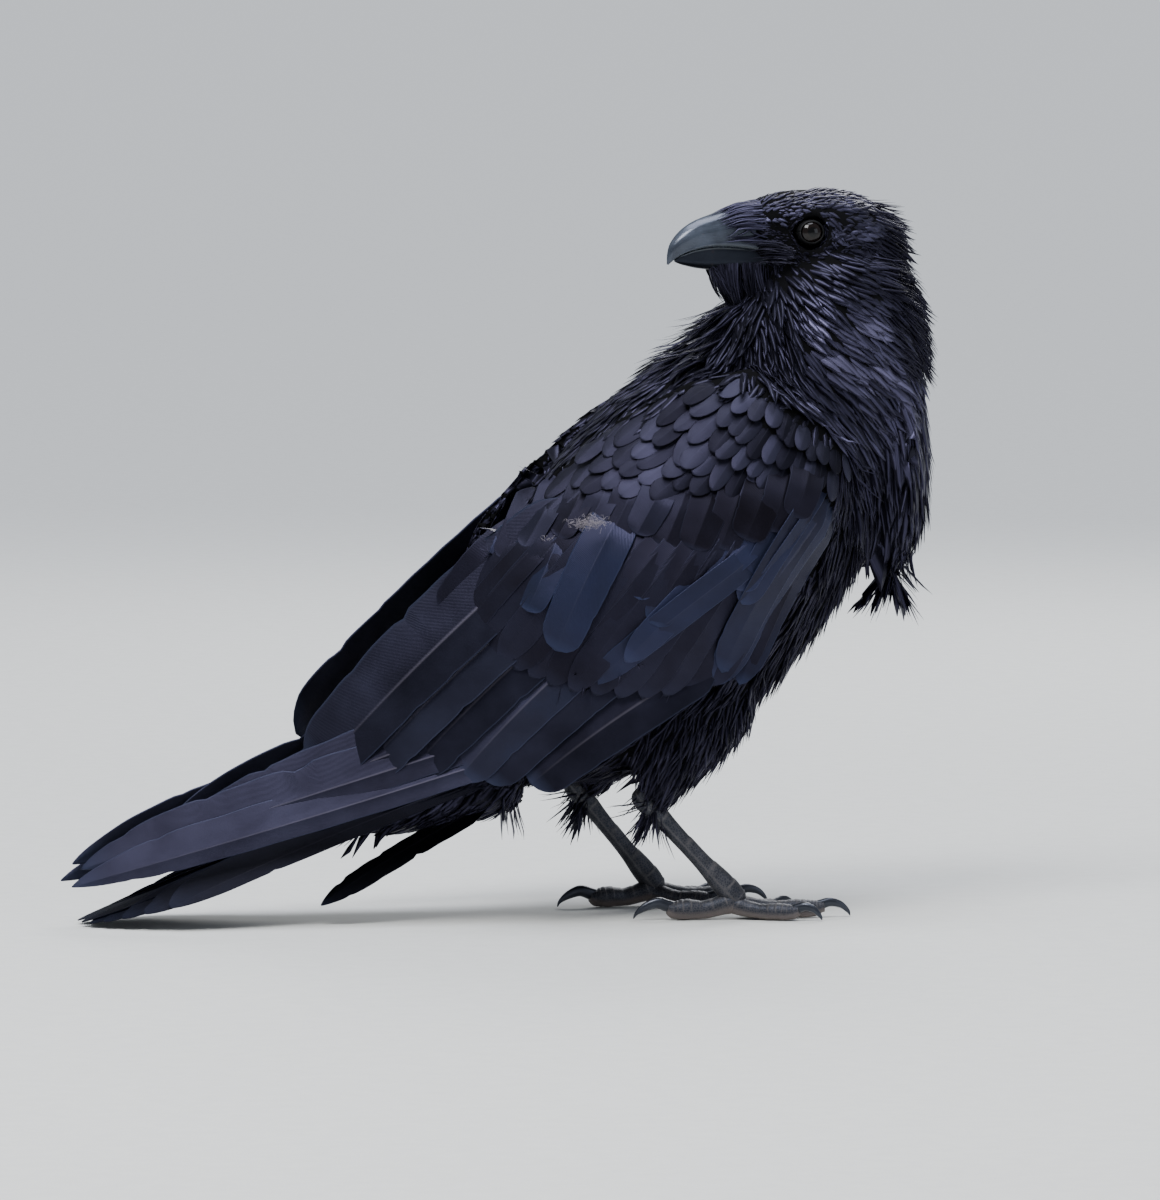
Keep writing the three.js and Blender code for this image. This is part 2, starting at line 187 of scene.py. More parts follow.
def superellipse(value: Array, power: Array | float) -> Array:
    """A superellipse's coordinate: power 2 is an ellipse, and more is squarer."""
    return np.sign(value) * np.abs(value) ** (2 / power)


# ---- Meshes ----------------------------------------------------------------------------------


def write(mesh: bpy.types.Mesh, name: str, numbers: Array) -> None:
    """Writes a number or a vector for each point of a mesh, as a named attribute."""
    wide = numbers.ndim == 2
    data = mesh.attributes.new(name, "FLOAT_VECTOR" if wide else "FLOAT", "POINT").data
    data.foreach_set("vector" if wide else "value", numbers.astype(np.float32).ravel())


def place_points(mesh: bpy.types.Mesh, points: Array) -> None:
    """Sets the places of a mesh's points."""
    mesh.vertices.foreach_set("co", points.astype(np.float32).ravel())


def shade_smooth(mesh: bpy.types.Mesh) -> None:
    """Shades every face of a mesh smooth."""
    mesh.polygons.foreach_set("use_smooth", np.ones(len(mesh.polygons), bool))


def solid_tree(nodes: Sequence[str]) -> BVHTree:
    """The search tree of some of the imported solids, in the bird's frame."""
    points: list[list[float]] = []
    faces: list[list[int]] = []
    for node in nodes:
        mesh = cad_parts[node].data
        faces += [[len(points) + v for v in face.vertices] for face in mesh.polygons]
        points += to_bird(np.array([v.co for v in mesh.vertices], float)).tolist()
    return BVHTree.FromPolygons(points, faces)


@dataclass
class Shell:
    """Collects closed tubes of rings and makes them one mesh, each with its own island of UVs."""

    points: list[Array] = field(default_factory=list)
    loops: list[Array] = field(default_factory=list)
    sizes: list[Array] = field(default_factory=list)
    maps: list[Array] = field(default_factory=list)
    values: list[dict[str, Array]] = field(default_factory=list)
    count: int = 0

    # Where the walls and the two end caps of a tube lie on its island.
    WALL_FROM = (0.03, 0.06)
    WALL_SIZE = (0.94, 0.88)
    CAP_AT = ((0.2, 0.03), (0.8, 0.97))
    CAP_RADIUS = 0.012

    def tube(self, rings: Array, **values: Array | float) -> None:
        """Adds one closed tube.

        Args:
            rings: Points as (ring, around, 3).
            **values: Values for the vertices by attribute name, each one number or an array that
                fits (ring, around).
        """
        n, m = rings.shape[:2]
        i, j = (grid.ravel() for grid in np.meshgrid(np.arange(n - 1), np.arange(m), indexing="ij"))
        k = (j + 1) % m
        quads = np.stack([i * m + j, i * m + k, (i + 1) * m + k, (i + 1) * m + j], axis=1)
        u = np.stack([j, j + 1, j + 1, j], axis=1) / m
        v = np.stack([i, i, i + 1, i + 1], axis=1) / (n - 1)
        chart = self.WALL_FROM + np.stack([u, v], axis=-1) * self.WALL_SIZE
        flat = rings.reshape(-1, 3)
        corner = flat[quads] - flat.mean(axis=0)
        volume = np.einsum("ij,ij->i", corner[:, 0], np.cross(corner[:, 1], corner[:, 2])).sum()
        volume += np.einsum("ij,ij->i", corner[:, 0], np.cross(corner[:, 2], corner[:, 3])).sum()
        caps = [np.arange(m)[::-1], (n - 1) * m + np.arange(m)]
        turn = 2 * np.pi * np.arange(m) / m
        disk = np.stack([np.cos(turn), np.sin(turn)], axis=-1) * self.CAP_RADIUS
        faces = [*quads, *caps]
        charts = [*chart, disk[::-1] + self.CAP_AT[0], disk + self.CAP_AT[1]]
        if volume < 0:
            faces = [face[::-1] for face in faces]
            charts = [one[::-1] for one in charts]
        self.loops.append(np.concatenate(faces) + self.count)
        self.sizes.append(np.array([len(face) for face in faces]))
        self.maps.append(np.concatenate(charts))
        self.points.append(flat)
        self.values.append({name: np.broadcast_to(value, (n, m)).ravel() for name, value in values.items()})
        self.count += len(flat)

    def mesh(self, name: str, scaled: bool = True) -> bpy.types.Mesh:
        """Makes the mesh.

        Args:
            name: The mesh's name.
            scaled: Whether the points are in the bird's frame, and move to the model's.

        Returns:
            The mesh, smooth-shaded, with its attributes and UV map.
        """
        points = np.vstack(self.points)
        loops = np.concatenate(self.loops).astype(np.int32)
        sizes = np.concatenate(self.sizes).astype(np.int32)
        mesh = bpy.data.meshes.new(name)
        mesh.vertices.add(len(points))
        place_points(mesh, to_model(points) if scaled else points)
        mesh.loops.add(len(loops))
        mesh.loops.foreach_set("vertex_index", loops)
        mesh.polygons.add(len(sizes))
        mesh.polygons.foreach_set("loop_start", np.concatenate([[0], np.cumsum(sizes)[:-1]]))
        mesh.update(calc_edges=True)
        shade_smooth(mesh)
        for key in self.values[0]:
            write(mesh, key, np.concatenate([one[key] for one in self.values]))
        across = math.ceil(math.sqrt(len(self.maps)))
        islands = [(one + [i % across, i // across]) / across for i, one in enumerate(self.maps)]
        layer = mesh.uv_layers.new(name=BAKE_MAP)
        layer.uv.foreach_set("vector", np.concatenate(islands).astype(np.float32).ravel())
        mesh.validate()
        return mesh


def show(mesh: bpy.types.Mesh, material: bpy.types.Material | None = None) -> bpy.types.Object:
    """Puts a mesh into the scene.

    Args:
        mesh: The mesh, whose name the object takes.
        material: Its finish, or None to keep what the mesh has.

    Returns:
        The object.
    """
    item = bpy.data.objects.new(mesh.name, mesh)
    bpy.context.scene.collection.objects.link(item)
    if material is not None:
        mesh.materials.clear()
        mesh.materials.append(material)
    return item


def baked(item: bpy.types.Object, name: str) -> bpy.types.Mesh:
    """Runs an object's modifiers, and keeps the mesh alone.

    Args:
        item: The draft object, which is removed.
        name: The new mesh's name.

    Returns:
        The plain mesh.
    """
    graph = bpy.context.evaluated_depsgraph_get()
    mesh = bpy.data.meshes.new_from_object(item.evaluated_get(graph), depsgraph=graph)
    draft = item.data
    bpy.data.objects.remove(item)
    bpy.data.meshes.remove(draft)
    mesh.name = name
    return mesh


def carry(item: bpy.types.Object, slot: Slot, *nodes: str) -> bpy.types.Object:
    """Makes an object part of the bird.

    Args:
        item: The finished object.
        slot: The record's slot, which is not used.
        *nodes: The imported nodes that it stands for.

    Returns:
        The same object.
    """
    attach(item, BODY)
    if nodes:
        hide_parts(*nodes)
    return item


@dataclass(frozen=True)
class Sweep:
    """A body swept through stations (x, y, z, depth, width); each section is square to the path."""

    stations: Sequence[Place]
    side: Place = (0.0, 1.0, 0.0)
    around: int = 24
    steps: int = 6
    power: float = 2.0
    low_power: float | None = None
    relief: Callable[[Array, Array], Array] | None = None

    def rings(self) -> tuple[Array, Array, Array]:
        """Makes the rings.

        Returns:
            The points as (ring, around, 3), each ring's share of the path, and each point's angle
            from the upper side of the section.
        """
        knots = np.asarray(self.stations, float)
        shares = np.linspace(0, 1, (len(knots) - 1) * self.steps + 1)
        row = smooth_curve(knots, shares)
        along = unit(np.gradient(row[:, :3], axis=0))
        side = np.asarray(self.side, float)
        across = unit(side - along * (along @ side)[:, None])
        up = np.cross(along, across)
        # A level path's sections all stand upright, and a steep path's keep their turn.
        up *= np.sign(up[:, 2:3] + 1e-6) if abs(up[:, 2].mean()) > 0.2 else 1
        angle = 2 * np.pi * np.arange(self.around) / self.around
        power = np.where(np.cos(angle) >= 0, self.power, self.low_power or self.power)
        high = superellipse(np.cos(angle), power)
        wide = superellipse(np.sin(angle), power)
        swell = np.zeros((len(shares), self.around))
        if self.relief is not None:
            swell = self.relief(shares[:, None], angle[None, :]) + swell
        points = row[:, None, :3] + up[:, None] * (high * (row[:, 3:4] + swell))[..., None]
        points = points + across[:, None] * (wide * (row[:, 4:5] + swell))[..., None]
        return points, shares, angle


# ---- Nodes and finishes ----------------------------------------------------------------------


def linear(code: str) -> tuple[float, float, float, float]:
    """Turns an sRGB hex colour, such as "#20212b", to linear values with alpha 1."""
    parts = [int(code[i : i + 2], 16) / 255 for i in (1, 3, 5)]
    return (*[p / 12.92 if p <= 0.04045 else ((p + 0.055) / 1.055) ** 2.4 for p in parts], 1.0)


def plug(tree: bpy.types.NodeTree, made: bpy.types.Node, links: dict[Any, Any]) -> None:
    """Gives a node's inputs what they get.

    Args:
        tree: The tree that the node is in.
        made: The node.
        links: By input name or index: an output socket to link, or a value.
    """
    for key, value in links.items():
        if isinstance(value, bpy.types.NodeSocket):
            tree.links.new(value, made.inputs[key])
        else:
            made.inputs[key].default_value = value


def add(
    tree: bpy.types.NodeTree,
    kind: str,
    links: dict[Any, Any] | None = None,
    give: int | str | None = 0,
    stops: Stops = (),
    **settings: Any,
) -> Any:
    """Adds a node.

    Args:
        tree: The tree that it joins.
        kind: The node's class name.
        links: What its inputs get, as `plug` takes it.
        give: The output to return, by name or index, or None for all of them.
        stops: On a colour ramp, the positions and sRGB hex colours.
        **settings: The node's own properties.

    Returns:
        The output's socket, or all of the outputs.
    """
    made = tree.nodes.new(kind)
    for key, value in settings.items():
        setattr(made, key, value)
    plug(tree, made, links or {})
    for i, (position, code) in enumerate(stops):
        bar = made.color_ramp.elements
        element = bar[i] if i < len(bar) else bar.new(position)
        element.position, element.color = position, linear(code)
    return made.outputs if give is None else made.outputs[give]


def new_material(name: str) -> tuple[bpy.types.Material, Callable[..., Any], Callable[..., None]]:
    """Starts a material.

    Args:
        name: The material's name.

    Returns:
        The material, `add` for its tree, and `plug` for its Principled shader.
    """
    material = bpy.data.materials.new(name)
    material.use_nodes = True
    tree = material.node_tree
    return material, partial(add, tree), partial(plug, tree, tree.nodes["Principled BSDF"])


@dataclass(frozen=True)
class FeatherFinish:
    """Melanin-black keratin of a feather, combed by the bird.

    The barbs lie side by side like brushed cloth, so the vane is near black, with a broad soft
    gloss that melanin layers tint violet and blue, and a paler shaft.
    """

    name: str
    colours: tuple[str, ...]
    # The colour of the rims and tips: painted shade when it is dark, a painted highlight of gloss when it is
    # pale.
    edge: str = "#08080b"
    shaft: str | None = None
    shaft_width: float = 0.045
    barbs: float = 0.0
    barb_slope: float = 0.5
    roughness: float = 0.42
    tint: str = "#c9c4ff"
    gloss: float = 0.6
    sheen: float = 0.03
    sheen_tint: str = "#8a88a8"
    edge_from: float = 0.8
    edge_depth: float = 0.4

    # The dullest and the glossiest feathers, against the usual one.
    GLOSS_SPAN = (0.35, 1.3)
    WEAR = 0.9

    def make(self) -> bpy.types.Material:
        """Builds the material."""
        material, node, finish = new_material(self.name)
        place = node("ShaderNodeTexCoord", give="Object")
        tone, share, across = (node("ShaderNodeAttribute", give="Fac", attribute_name=name)
                               for name in ("tone", "share", "across"))
        # Patches of wear and preening are some 25 mm across.
        patches = node("ShaderNodeTexNoise", {"Vector": place, "Scale": 40.0, "Detail": 3.0})
        wear = node("ShaderNodeMath", {0: patches, 1: 0.5}, operation="SUBTRACT")
        tone = node("ShaderNodeMath", {0: wear, 1: self.WEAR, 2: tone}, operation="MULTIPLY_ADD")
        last = max(len(self.colours) - 1, 1)
        colour = node("ShaderNodeValToRGB", {"Fac": tone},
                      stops=[(i / last, code) for i, code in enumerate(self.colours)])
        across = node("ShaderNodeMath", {0: across}, operation="ABSOLUTE")
        # Rims and tips are painted light and shade: a dark edge colour paints the shadow between overlapping
        # feathers, a pale one the gloss on their curved edges.
        rim = node("ShaderNodeMapRange", {0: across, 1: self.edge_from, 2: 1.0})
        tip = node("ShaderNodeMapRange", {0: share, 1: 0.93, 2: 1.0})
        painted_rim_mask = node("ShaderNodeMath", {0: rim, 1: tip}, operation="MAXIMUM")
        depth = node("ShaderNodeMath", {0: painted_rim_mask, 1: self.edge_depth}, operation="MULTIPLY")
        colour = node("ShaderNodeMix", {0: depth, 6: colour, 7: linear(self.edge)}, give=2, data_type="RGBA")
        if self.shaft:
            near = node("ShaderNodeMapRange", {0: across, 1: self.shaft_width, 2: 0.0})
            fade = node("ShaderNodeMath", {0: 1.0, 1: share}, operation="SUBTRACT")
            pale = node("ShaderNodeMath", {0: near, 1: fade}, operation="MULTIPLY")
            pale = node("ShaderNodeMath", {0: pale, 1: 0.8}, operation="MINIMUM")
            colour = node("ShaderNodeMix", {0: pale, 6: colour, 7: linear(self.shaft)}, give=2,
                          data_type="RGBA")
        if self.barbs:
            # Barbs leave the shaft aslant. Real ones are 0.5 mm apart, drawn a little coarser.
            slant = node("ShaderNodeMath", {0: across, 1: -self.barb_slope, 2: share},
                         operation="MULTIPLY_ADD")
            phase = node("ShaderNodeMath", {0: slant, 1: self.barbs}, operation="MULTIPLY")
            wave = node("ShaderNodeMath", {0: phase}, operation="SINE")
            grain = node("ShaderNodeTexNoise", {"Vector": place, "Scale": 900.0})
            height = node("ShaderNodeMath", {0: grain, 1: 1.5, 2: wave}, operation="MULTIPLY_ADD")
            finish({"Normal": node("ShaderNodeBump",
                                   {"Strength": 0.22, "Distance": 0.0003, "Height": height})})
        dull, bright = (self.gloss * part for part in self.GLOSS_SPAN)
        finish({
            "Base Color": colour,
            "Roughness": self.roughness,
            "Specular IOR Level": node("ShaderNodeMapRange", {0: tone, 3: dull, 4: bright}),
            "Specular Tint": linear(self.tint),
            "Sheen Weight": self.sheen,
            "Sheen Roughness": 0.45,
            "Sheen Tint": linear(self.sheen_tint),
        })
        return material


@dataclass(frozen=True)
class HornFinish:
    """Keratin horn of a bill or claw, worn smooth, with a waxy gloss over slate-black layers."""

    name: str
    dark: str
    light: str
    stain: str
    roughness: float = 0.3
    streak: float = 60.0
    wax: float = 0.5
    gloss: float = 0.5
    worn_edge: str = "#6f7477"

    def make(self) -> bpy.types.Material:
        """Builds the material."""
        material, node, finish = new_material(self.name)
        place = node("ShaderNodeTexCoord", give="Object")
        share, edge = (node("ShaderNodeAttribute", give="Fac", attribute_name=name)
                       for name in ("share", "edge"))
        broad = node("ShaderNodeTexNoise", {"Vector": place, "Scale": self.streak, "Detail": 4.0})
        tone = node("ShaderNodeMath", {0: share, 1: 0.35, 2: broad}, operation="MULTIPLY_ADD")
        colour = node("ShaderNodeValToRGB", {"Fac": tone},
                      stops=((0.35, self.dark), (0.62, self.dark), (0.95, self.light)))
        # Food and earth stain the horn in spots of 2 to 4 mm.
        spots = node("ShaderNodeTexNoise", {"Vector": place, "Scale": 210.0, "Detail": 2.0})
        dirt = node("ShaderNodeMapRange", {0: spots, 1: 0.66, 2: 0.78, 4: 0.45})
        colour = node("ShaderNodeMix", {0: dirt, 6: colour, 7: linear(self.stain)}, give=2, data_type="RGBA")
        # The cutting edge is worn to a pale line.
        pale = node("ShaderNodeMath", {0: edge, 1: 0.8}, operation="MULTIPLY")
        colour = node("ShaderNodeMix", {0: pale, 6: colour, 7: linear(self.worn_edge)}, give=2,
                      data_type="RGBA")
        # Scratches run along the horn, a third of a millimetre wide.
        stretched = node("ShaderNodeMapping",
                         {"Vector": place, "Rotation": (0, 0, HEAD_TURN), "Scale": (0.16, 1, 1)})
        fine = node("ShaderNodeTexNoise", {"Vector": stretched, "Scale": 1400.0, "Detail": 3.0})
        smooth, worn = self.roughness - 0.06, self.roughness + 0.16
        finish({
            "Base Color": colour,
            "Normal": node("ShaderNodeBump", {"Strength": 0.25, "Distance": 0.0002, "Height": fine}),
            "Roughness": node("ShaderNodeMapRange", {0: fine, 3: smooth, 4: worn}),
            "Specular Tint": linear("#cfdcff"),
            "Specular IOR Level": self.gloss,
            "Coat Weight": self.wax,
            "Coat Roughness": self.roughness,
        })
        return material


@dataclass(frozen=True)
class ScaleFinish:
    """Horny scales of the shank and toes: dry and matt, greyer in the creases and on the pads."""

    name: str
    scale: str = "#15161a"
    high: str = "#2d2e34"
    crease: str = "#5a5654"
    pad: str = "#6a605a"

    def make(self) -> bpy.types.Material:
        """Builds the material."""
        material, node, finish = new_material(self.name)
        place = node("ShaderNodeTexCoord", give="Object")
        # Small scales between the scutes are about 1.2 mm across.
        cells = node("ShaderNodeTexVoronoi", {"Vector": place, "Scale": 820.0}, feature="DISTANCE_TO_EDGE")
        mottle = node("ShaderNodeTexNoise", {"Vector": place, "Scale": 170.0, "Detail": 4.0})
        colour = node("ShaderNodeValToRGB", {"Fac": mottle}, stops=((0.38, self.scale), (0.75, self.high)))
        line = node("ShaderNodeMapRange", {0: cells, 1: 0.14, 2: 0.02, 4: 0.75})
        fine = node("ShaderNodeMath", {0: line, 1: mottle}, operation="MULTIPLY")
        crease, pad = (node("ShaderNodeAttribute", give="Fac", attribute_name=name)
                       for name in ("crease", "pad"))
        for depth, code in ((fine, self.crease), (crease, self.crease), (pad, self.pad)):
            colour = node("ShaderNodeMix", {0: depth, 6: colour, 7: linear(code)}, give=2, data_type="RGBA")
        finish({
            "Base Color": colour,
            "Normal": node("ShaderNodeBump", {"Strength": 0.5, "Distance": 0.0003, "Height": cells}),
            "Roughness": 0.5,
            "Specular Tint": linear("#cdd6ee"),
        })
        return material


@dataclass(frozen=True)
class EyeFinish:
    """The eye's clear cornea over a dark brown iris: wet, so its gloss is sharp."""

    name: str
    centre: Place
    axis: Place

    def make(self) -> bpy.types.Material:
        """Builds the material."""
        material, node, finish = new_material(self.name)
        place = node("ShaderNodeTexCoord", give="Object")
        away = node("ShaderNodeVectorMath", {0: place, 1: self.centre}, operation="SUBTRACT")
        away = node("ShaderNodeVectorMath", {0: away}, operation="NORMALIZE")
        facing = node("ShaderNodeVectorMath", {0: away, 1: self.axis}, give="Value", operation="DOT_PRODUCT")
        # The pupil is 4.5 mm across and the iris 10 mm.
        stops = ((0.70, "#030303"), (0.78, "#0e0806"), (0.93, "#110a07"), (0.955, "#020202"))
        colour = node("ShaderNodeValToRGB", {"Fac": facing}, stops=stops)
        finish({"Base Color": colour, "Roughness": 0.06, "Specular IOR Level": 0.3})
        return material


@dataclass(frozen=True)
class MattFinish:
    """Plain matt stuff, such as studio paper, bare skin or down: light sinks in, and little shines."""

    name: str
    colour: str
    roughness: float = 0.85
    sheen: float = 0.0
    gloss: float = 0.5

    def make(self) -> bpy.types.Material:
        """Builds the material."""
        material, node, finish = new_material(self.name)
        place = node("ShaderNodeTexCoord", give="Object")
        noise = node("ShaderNodeTexNoise", {"Vector": place, "Scale": 90.0, "Detail": 3.0})
        shade = node("ShaderNodeMapRange", {0: noise, 3: 0.88, 4: 1.0})
        finish({
            "Base Color": node("ShaderNodeMix", {0: 1.0, 6: linear(self.colour), 7: shade}, give=2,
                               data_type="RGBA", blend_type="MULTIPLY"),
            "Roughness": self.roughness,
            "Specular IOR Level": self.gloss,
            "Sheen Weight": self.sheen,
        })
        return material


# ---- Skin ------------------------------------------------------------------------------------


@dataclass
class Skin:
    """The one skin under the coat, which lies inside the solids' outline by the coat's depth."""

    nodes: tuple[str, ...] = (
        "trunk", "neck", "head", "tail_coverts", "thigh_right", "thigh_left", "wing_right_shield",
        "wing_left_shield",
    )
    depths: tuple[float, ...] = (4.2, 5.0, 2.3, 2.6, 3.2, 3.2, 2.0, 2.0)
    # Low on the wing, where the large coverts lie on it, the skin is deeper by this much.
    wing_deeper: float = 2.2
    voxel: float = 2.3
    smoothing: int = 7
    spine: tuple[Place, ...] = (
        (-170, 0, 38), (-106, 0, 66), (-55, 0, 115), (-12, 0, 166), (33, 0, 219), (52, 0, 255),
        (58, 0, 290), (50, 0, 316), (14, -6, 318),
    )

    def __post_init__(self) -> None:
        """Reads the solids' outlines, and fuses and insets them."""
        self.item = self._fused()
        mesh = self.item.data
        outer = to_bird(self._read(mesh.vertices, "co"))
        self.label = self._labels(outer)
        normal = self._read(mesh.vertex_normals, "vector")
        on_wing = self.label >= self.nodes.index("wing_right_shield")
        inset = np.array(self.depths)[self.label]
        inset = inset + np.where(on_wing, self.wing_deeper * smoothstep(200, 178, outer[:, 2]), 0)
        self.points = self._sculpted(outer - normal * inset[:, None], normal)
        place_points(mesh, to_model(self.points))
        mesh.update()
        self.normals = self._read(mesh.vertex_normals, "vector")
        write(mesh, "grow", self.normals)
        mesh.calc_loop_triangles()
        self.triangles = self._read(mesh.loop_triangles, "vertices", np.int32)
        self.bvh = BVHTree.FromPolygons(self.points.tolist(), self.triangles.tolist())

    @staticmethod
    def _read(rows: Any, key: str, kind: type = np.float32) -> Array:
        """Reads three numbers from each of a mesh's elements."""
        numbers = np.empty(len(rows) * 3, kind)
        rows.foreach_get(key, numbers)
        return numbers.reshape(-1, 3).astype(float if kind is np.float32 else kind)

    def _fused(self) -> bpy.types.Object:
        """Fuses copies of the solids of flesh to one smooth closed mesh."""
        whole = bmesh.new()
        for name in self.nodes:
            whole.from_mesh(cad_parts[name].data)
        bmesh.ops.remove_doubles(whole, verts=whole.verts, dist=1e-6)
        mesh = bpy.data.meshes.new("skin_draft")
        whole.to_mesh(mesh)
        whole.free()
        draft = show(mesh)
        remesh = draft.modifiers.new("fuse", "REMESH")
        remesh.mode = "VOXEL"
        remesh.voxel_size = self.voxel * MM
        draft.modifiers.new("soften", "SMOOTH").iterations = self.smoothing
        fused = baked(draft, "skin")
        self._keep_largest(fused)
        shade_smooth(fused)
        return show(fused)

    @staticmethod
    def _keep_largest(mesh: bpy.types.Mesh) -> None:
        """Deletes every closed part of a mesh but the largest."""
        whole = bmesh.new()
        whole.from_mesh(mesh)
        left = set(whole.verts)
        parts = []
        while left:
            seed = left.pop()
            part, edge = {seed}, [seed]
            while edge:
                for vert in {v for link in edge.pop().link_edges for v in link.verts} & left:
                    left.discard(vert)
                    part.add(vert)
                    edge.append(vert)
            parts.append(part)
        keep = max(parts, key=len)
        bmesh.ops.delete(whole, geom=[v for v in whole.verts if v not in keep], context="VERTS")
        whole.to_mesh(mesh)
        whole.free()

    def _labels(self, points: Array) -> Array:
        """The index of the solid that each point lies on."""
        spots = [Vector(point) for point in points]
        outlines = [solid_tree([name]) for name in self.nodes]
        gaps = np.array([[tree.find_nearest(spot)[3] for spot in spots] for tree in outlines])
        return gaps.argmin(axis=0)

    @staticmethod
    def _sculpted(points: Array, normal: Array) -> Array:
        """Presses in the eye sockets and lores and raises the brows."""
        x, y, z = in_head(points).T
        on_head = (np.abs(y) > 6) & (z > -24) & (x > -30)
        from_eye = np.hypot(x, z)
        press = 2.3 * bell((x - 5) / 10, (z - 10) / 3.4)  # brow
        press = press + 1.2 * bell((x + 8) / 11, (z + 13) / 7)  # cheek
        press = press + 1.2 * bell((from_eye - 7.4) / 2.2)  # rim of the socket
        press = press - 2.4 * bell((x - 13) / 6, (z - 0.5) / 5)  # lore
        press = press - 4.5 * smoothstep(7.0, 5.4, from_eye)  # socket
        return points + normal * np.where(on_head, press, 0)[:, None]

    def chart(self, points: Array) -> Array:
        """Unwraps points near the skin round its spine.

        Args:
            points: Points in the bird's frame.

        Returns:
            The angle round the spine and the place along it, both from 0 to 1.
        """
        knots = np.array(self.spine, float)
        steps = np.diff(knots, axis=0)
        lengths = np.linalg.norm(steps, axis=1)
        start = np.concatenate([[0], np.cumsum(lengths)])
        best = np.full(len(points), np.inf)
        chart = np.zeros((len(points), 2))
        for knot, step, length, from_start in zip(knots, steps, lengths, start):
            along = step / length
            t = np.clip((points - knot) @ along, 0, length)
            away = points - knot - t[:, None] * along
            gap = np.linalg.norm(away, axis=1)
            side = unit(np.array([0, 1, 0]) - along * along[1])
            angle = np.arctan2(away @ side, away @ np.cross(along, side))
            nearer = gap < best
            best = np.where(nearer, gap, best)
            row = np.stack([0.5 + angle / (2.02 * np.pi), (from_start + t) / start[-1]], axis=1)
            chart[nearer] = row[nearer]
        return np.clip(chart, 0.004, 0.996)

    def dress(self, material: bpy.types.Material) -> list[bpy.types.Object]:
        """Gives the skin its finish and makes it stand for the solids of flesh."""
        self.item.data.materials.clear()
        self.item.data.materials.append(material)
        return [carry(self.item, Slot.PLUMAGE, *self.nodes)]


# ---- Trees that grow feathers and bristles ---------------------------------------------------


class Tuft(Enum):
    """The kinds of small feather."""

    STRAND = "strand"
    HACKLE = "hackle"
    COVERT = "covert"


@dataclass(frozen=True)
class TuftShape:
    """A small feather of length 1 along X and width 1 along Y, whose height is in widths."""

    shares: tuple[float, ...]
    widths: tuple[float, ...]
    columns: tuple[float, ...]
    camber: float
    thick: float

    def make(self, kind: Tuft) -> bpy.types.Object:
        """Builds the feather, out of sight, for the coat's nodes to repeat."""
        shares = np.array(self.shares)[:, None]
        half = np.array(self.widths)[:, None] / 2
        top = np.array(self.columns)[None, :]
        under = top[:, ::-1][:, 1:-1:2]
        crown = self.camber * (1 - np.abs(top) ** 1.7) * half * 2
        low = self.camber * (1 - np.abs(under) ** 1.7) * half * 2 - self.thick * np.minimum(half * 4, 1)
        rows_y = np.concatenate([top * half, under * half * 0.9], axis=1)
        rows_z = np.concatenate([crown, low], axis=1)
        rings = np.stack([np.broadcast_to(shares, rows_y.shape), rows_y, rows_z], axis=-1)
        across = np.broadcast_to(np.concatenate([top, under], axis=1), rows_y.shape)
        shell = Shell()
        shell.tube(rings, share=shares, across=across, height=rows_z)
        mesh = shell.mesh(f"tuft_{kind.value}", scaled=False)
        mesh.uv_layers.remove(mesh.uv_layers[BAKE_MAP])
        return bpy.data.objects.new(mesh.name, mesh)


TUFTS = {
    Tuft.STRAND: TuftShape((0, 0.3, 0.68, 1), (0.75, 1, 0.72, 0.06), (-1, 0, 1), 0.22, 0.18),
    Tuft.HACKLE: TuftShape((0, 0.25, 0.55, 0.82, 1), (0.5, 0.9, 1, 0.62, 0.06), (-1, 0, 1), 0.09, 0.07),
    Tuft.COVERT: TuftShape(
        (0, 0.2, 0.42, 0.62, 0.78, 0.89, 0.96, 1), (0.45, 0.8, 0.98, 1, 0.88, 0.66, 0.38, 0.08),
        (-1, -0.94, -0.45, -0.06, 0.06, 0.45, 0.94, 1), 0.06, 0.035,
    ),
}


class Grower:
    """A Geometry Nodes tree with named inputs, which turns a draft mesh into a finished one."""

    NAME = "grower"
    INPUTS: dict[str, str] = {}

    def __init__(self) -> None:
        """Builds the tree."""
        self.tree = bpy.data.node_groups.new(self.NAME, "GeometryNodeTree")
        self.node = partial(add, self.tree)
        face = self.tree.interface
        for name, kind in {"Draft": "Geometry", **self.INPUTS, "Finish": "Material"}.items():
            face.new_socket(name, in_out="INPUT", socket_type=f"NodeSocket{kind}")
        face.new_socket("Result", in_out="OUTPUT", socket_type="NodeSocketGeometry")
        given = self.node("NodeGroupInput", give=None)
        real = self.node("GeometryNodeRealizeInstances", {"Geometry": self._grown(given)})
        done = self.node("GeometryNodeSetMaterial", {"Geometry": real, "Material": given["Finish"]})
        self.node("NodeGroupOutput", {0: done}, give=None)

    def _grown(self, given: Any) -> Any:
        """Lays out the tree's own nodes between its inputs and the socket that it returns."""
        return given["Draft"]

    def run(self, draft: bpy.types.Mesh, **inputs: Any) -> bpy.types.Mesh:
        """Puts a draft through the tree.

        Args:
            draft: The draft, whose name the result takes.
            **inputs: Values for the tree's inputs by name.

        Returns:
            The plain mesh.
        """
        name = draft.name
        item = show(draft)
        grower = item.modifiers.new("grow", "NODES")
        grower.node_group = self.tree
        for socket in self.tree.interface.items_tree:
            if socket.name in inputs:
                grower[socket.identifier] = inputs[socket.name]
        return baked(item, name)


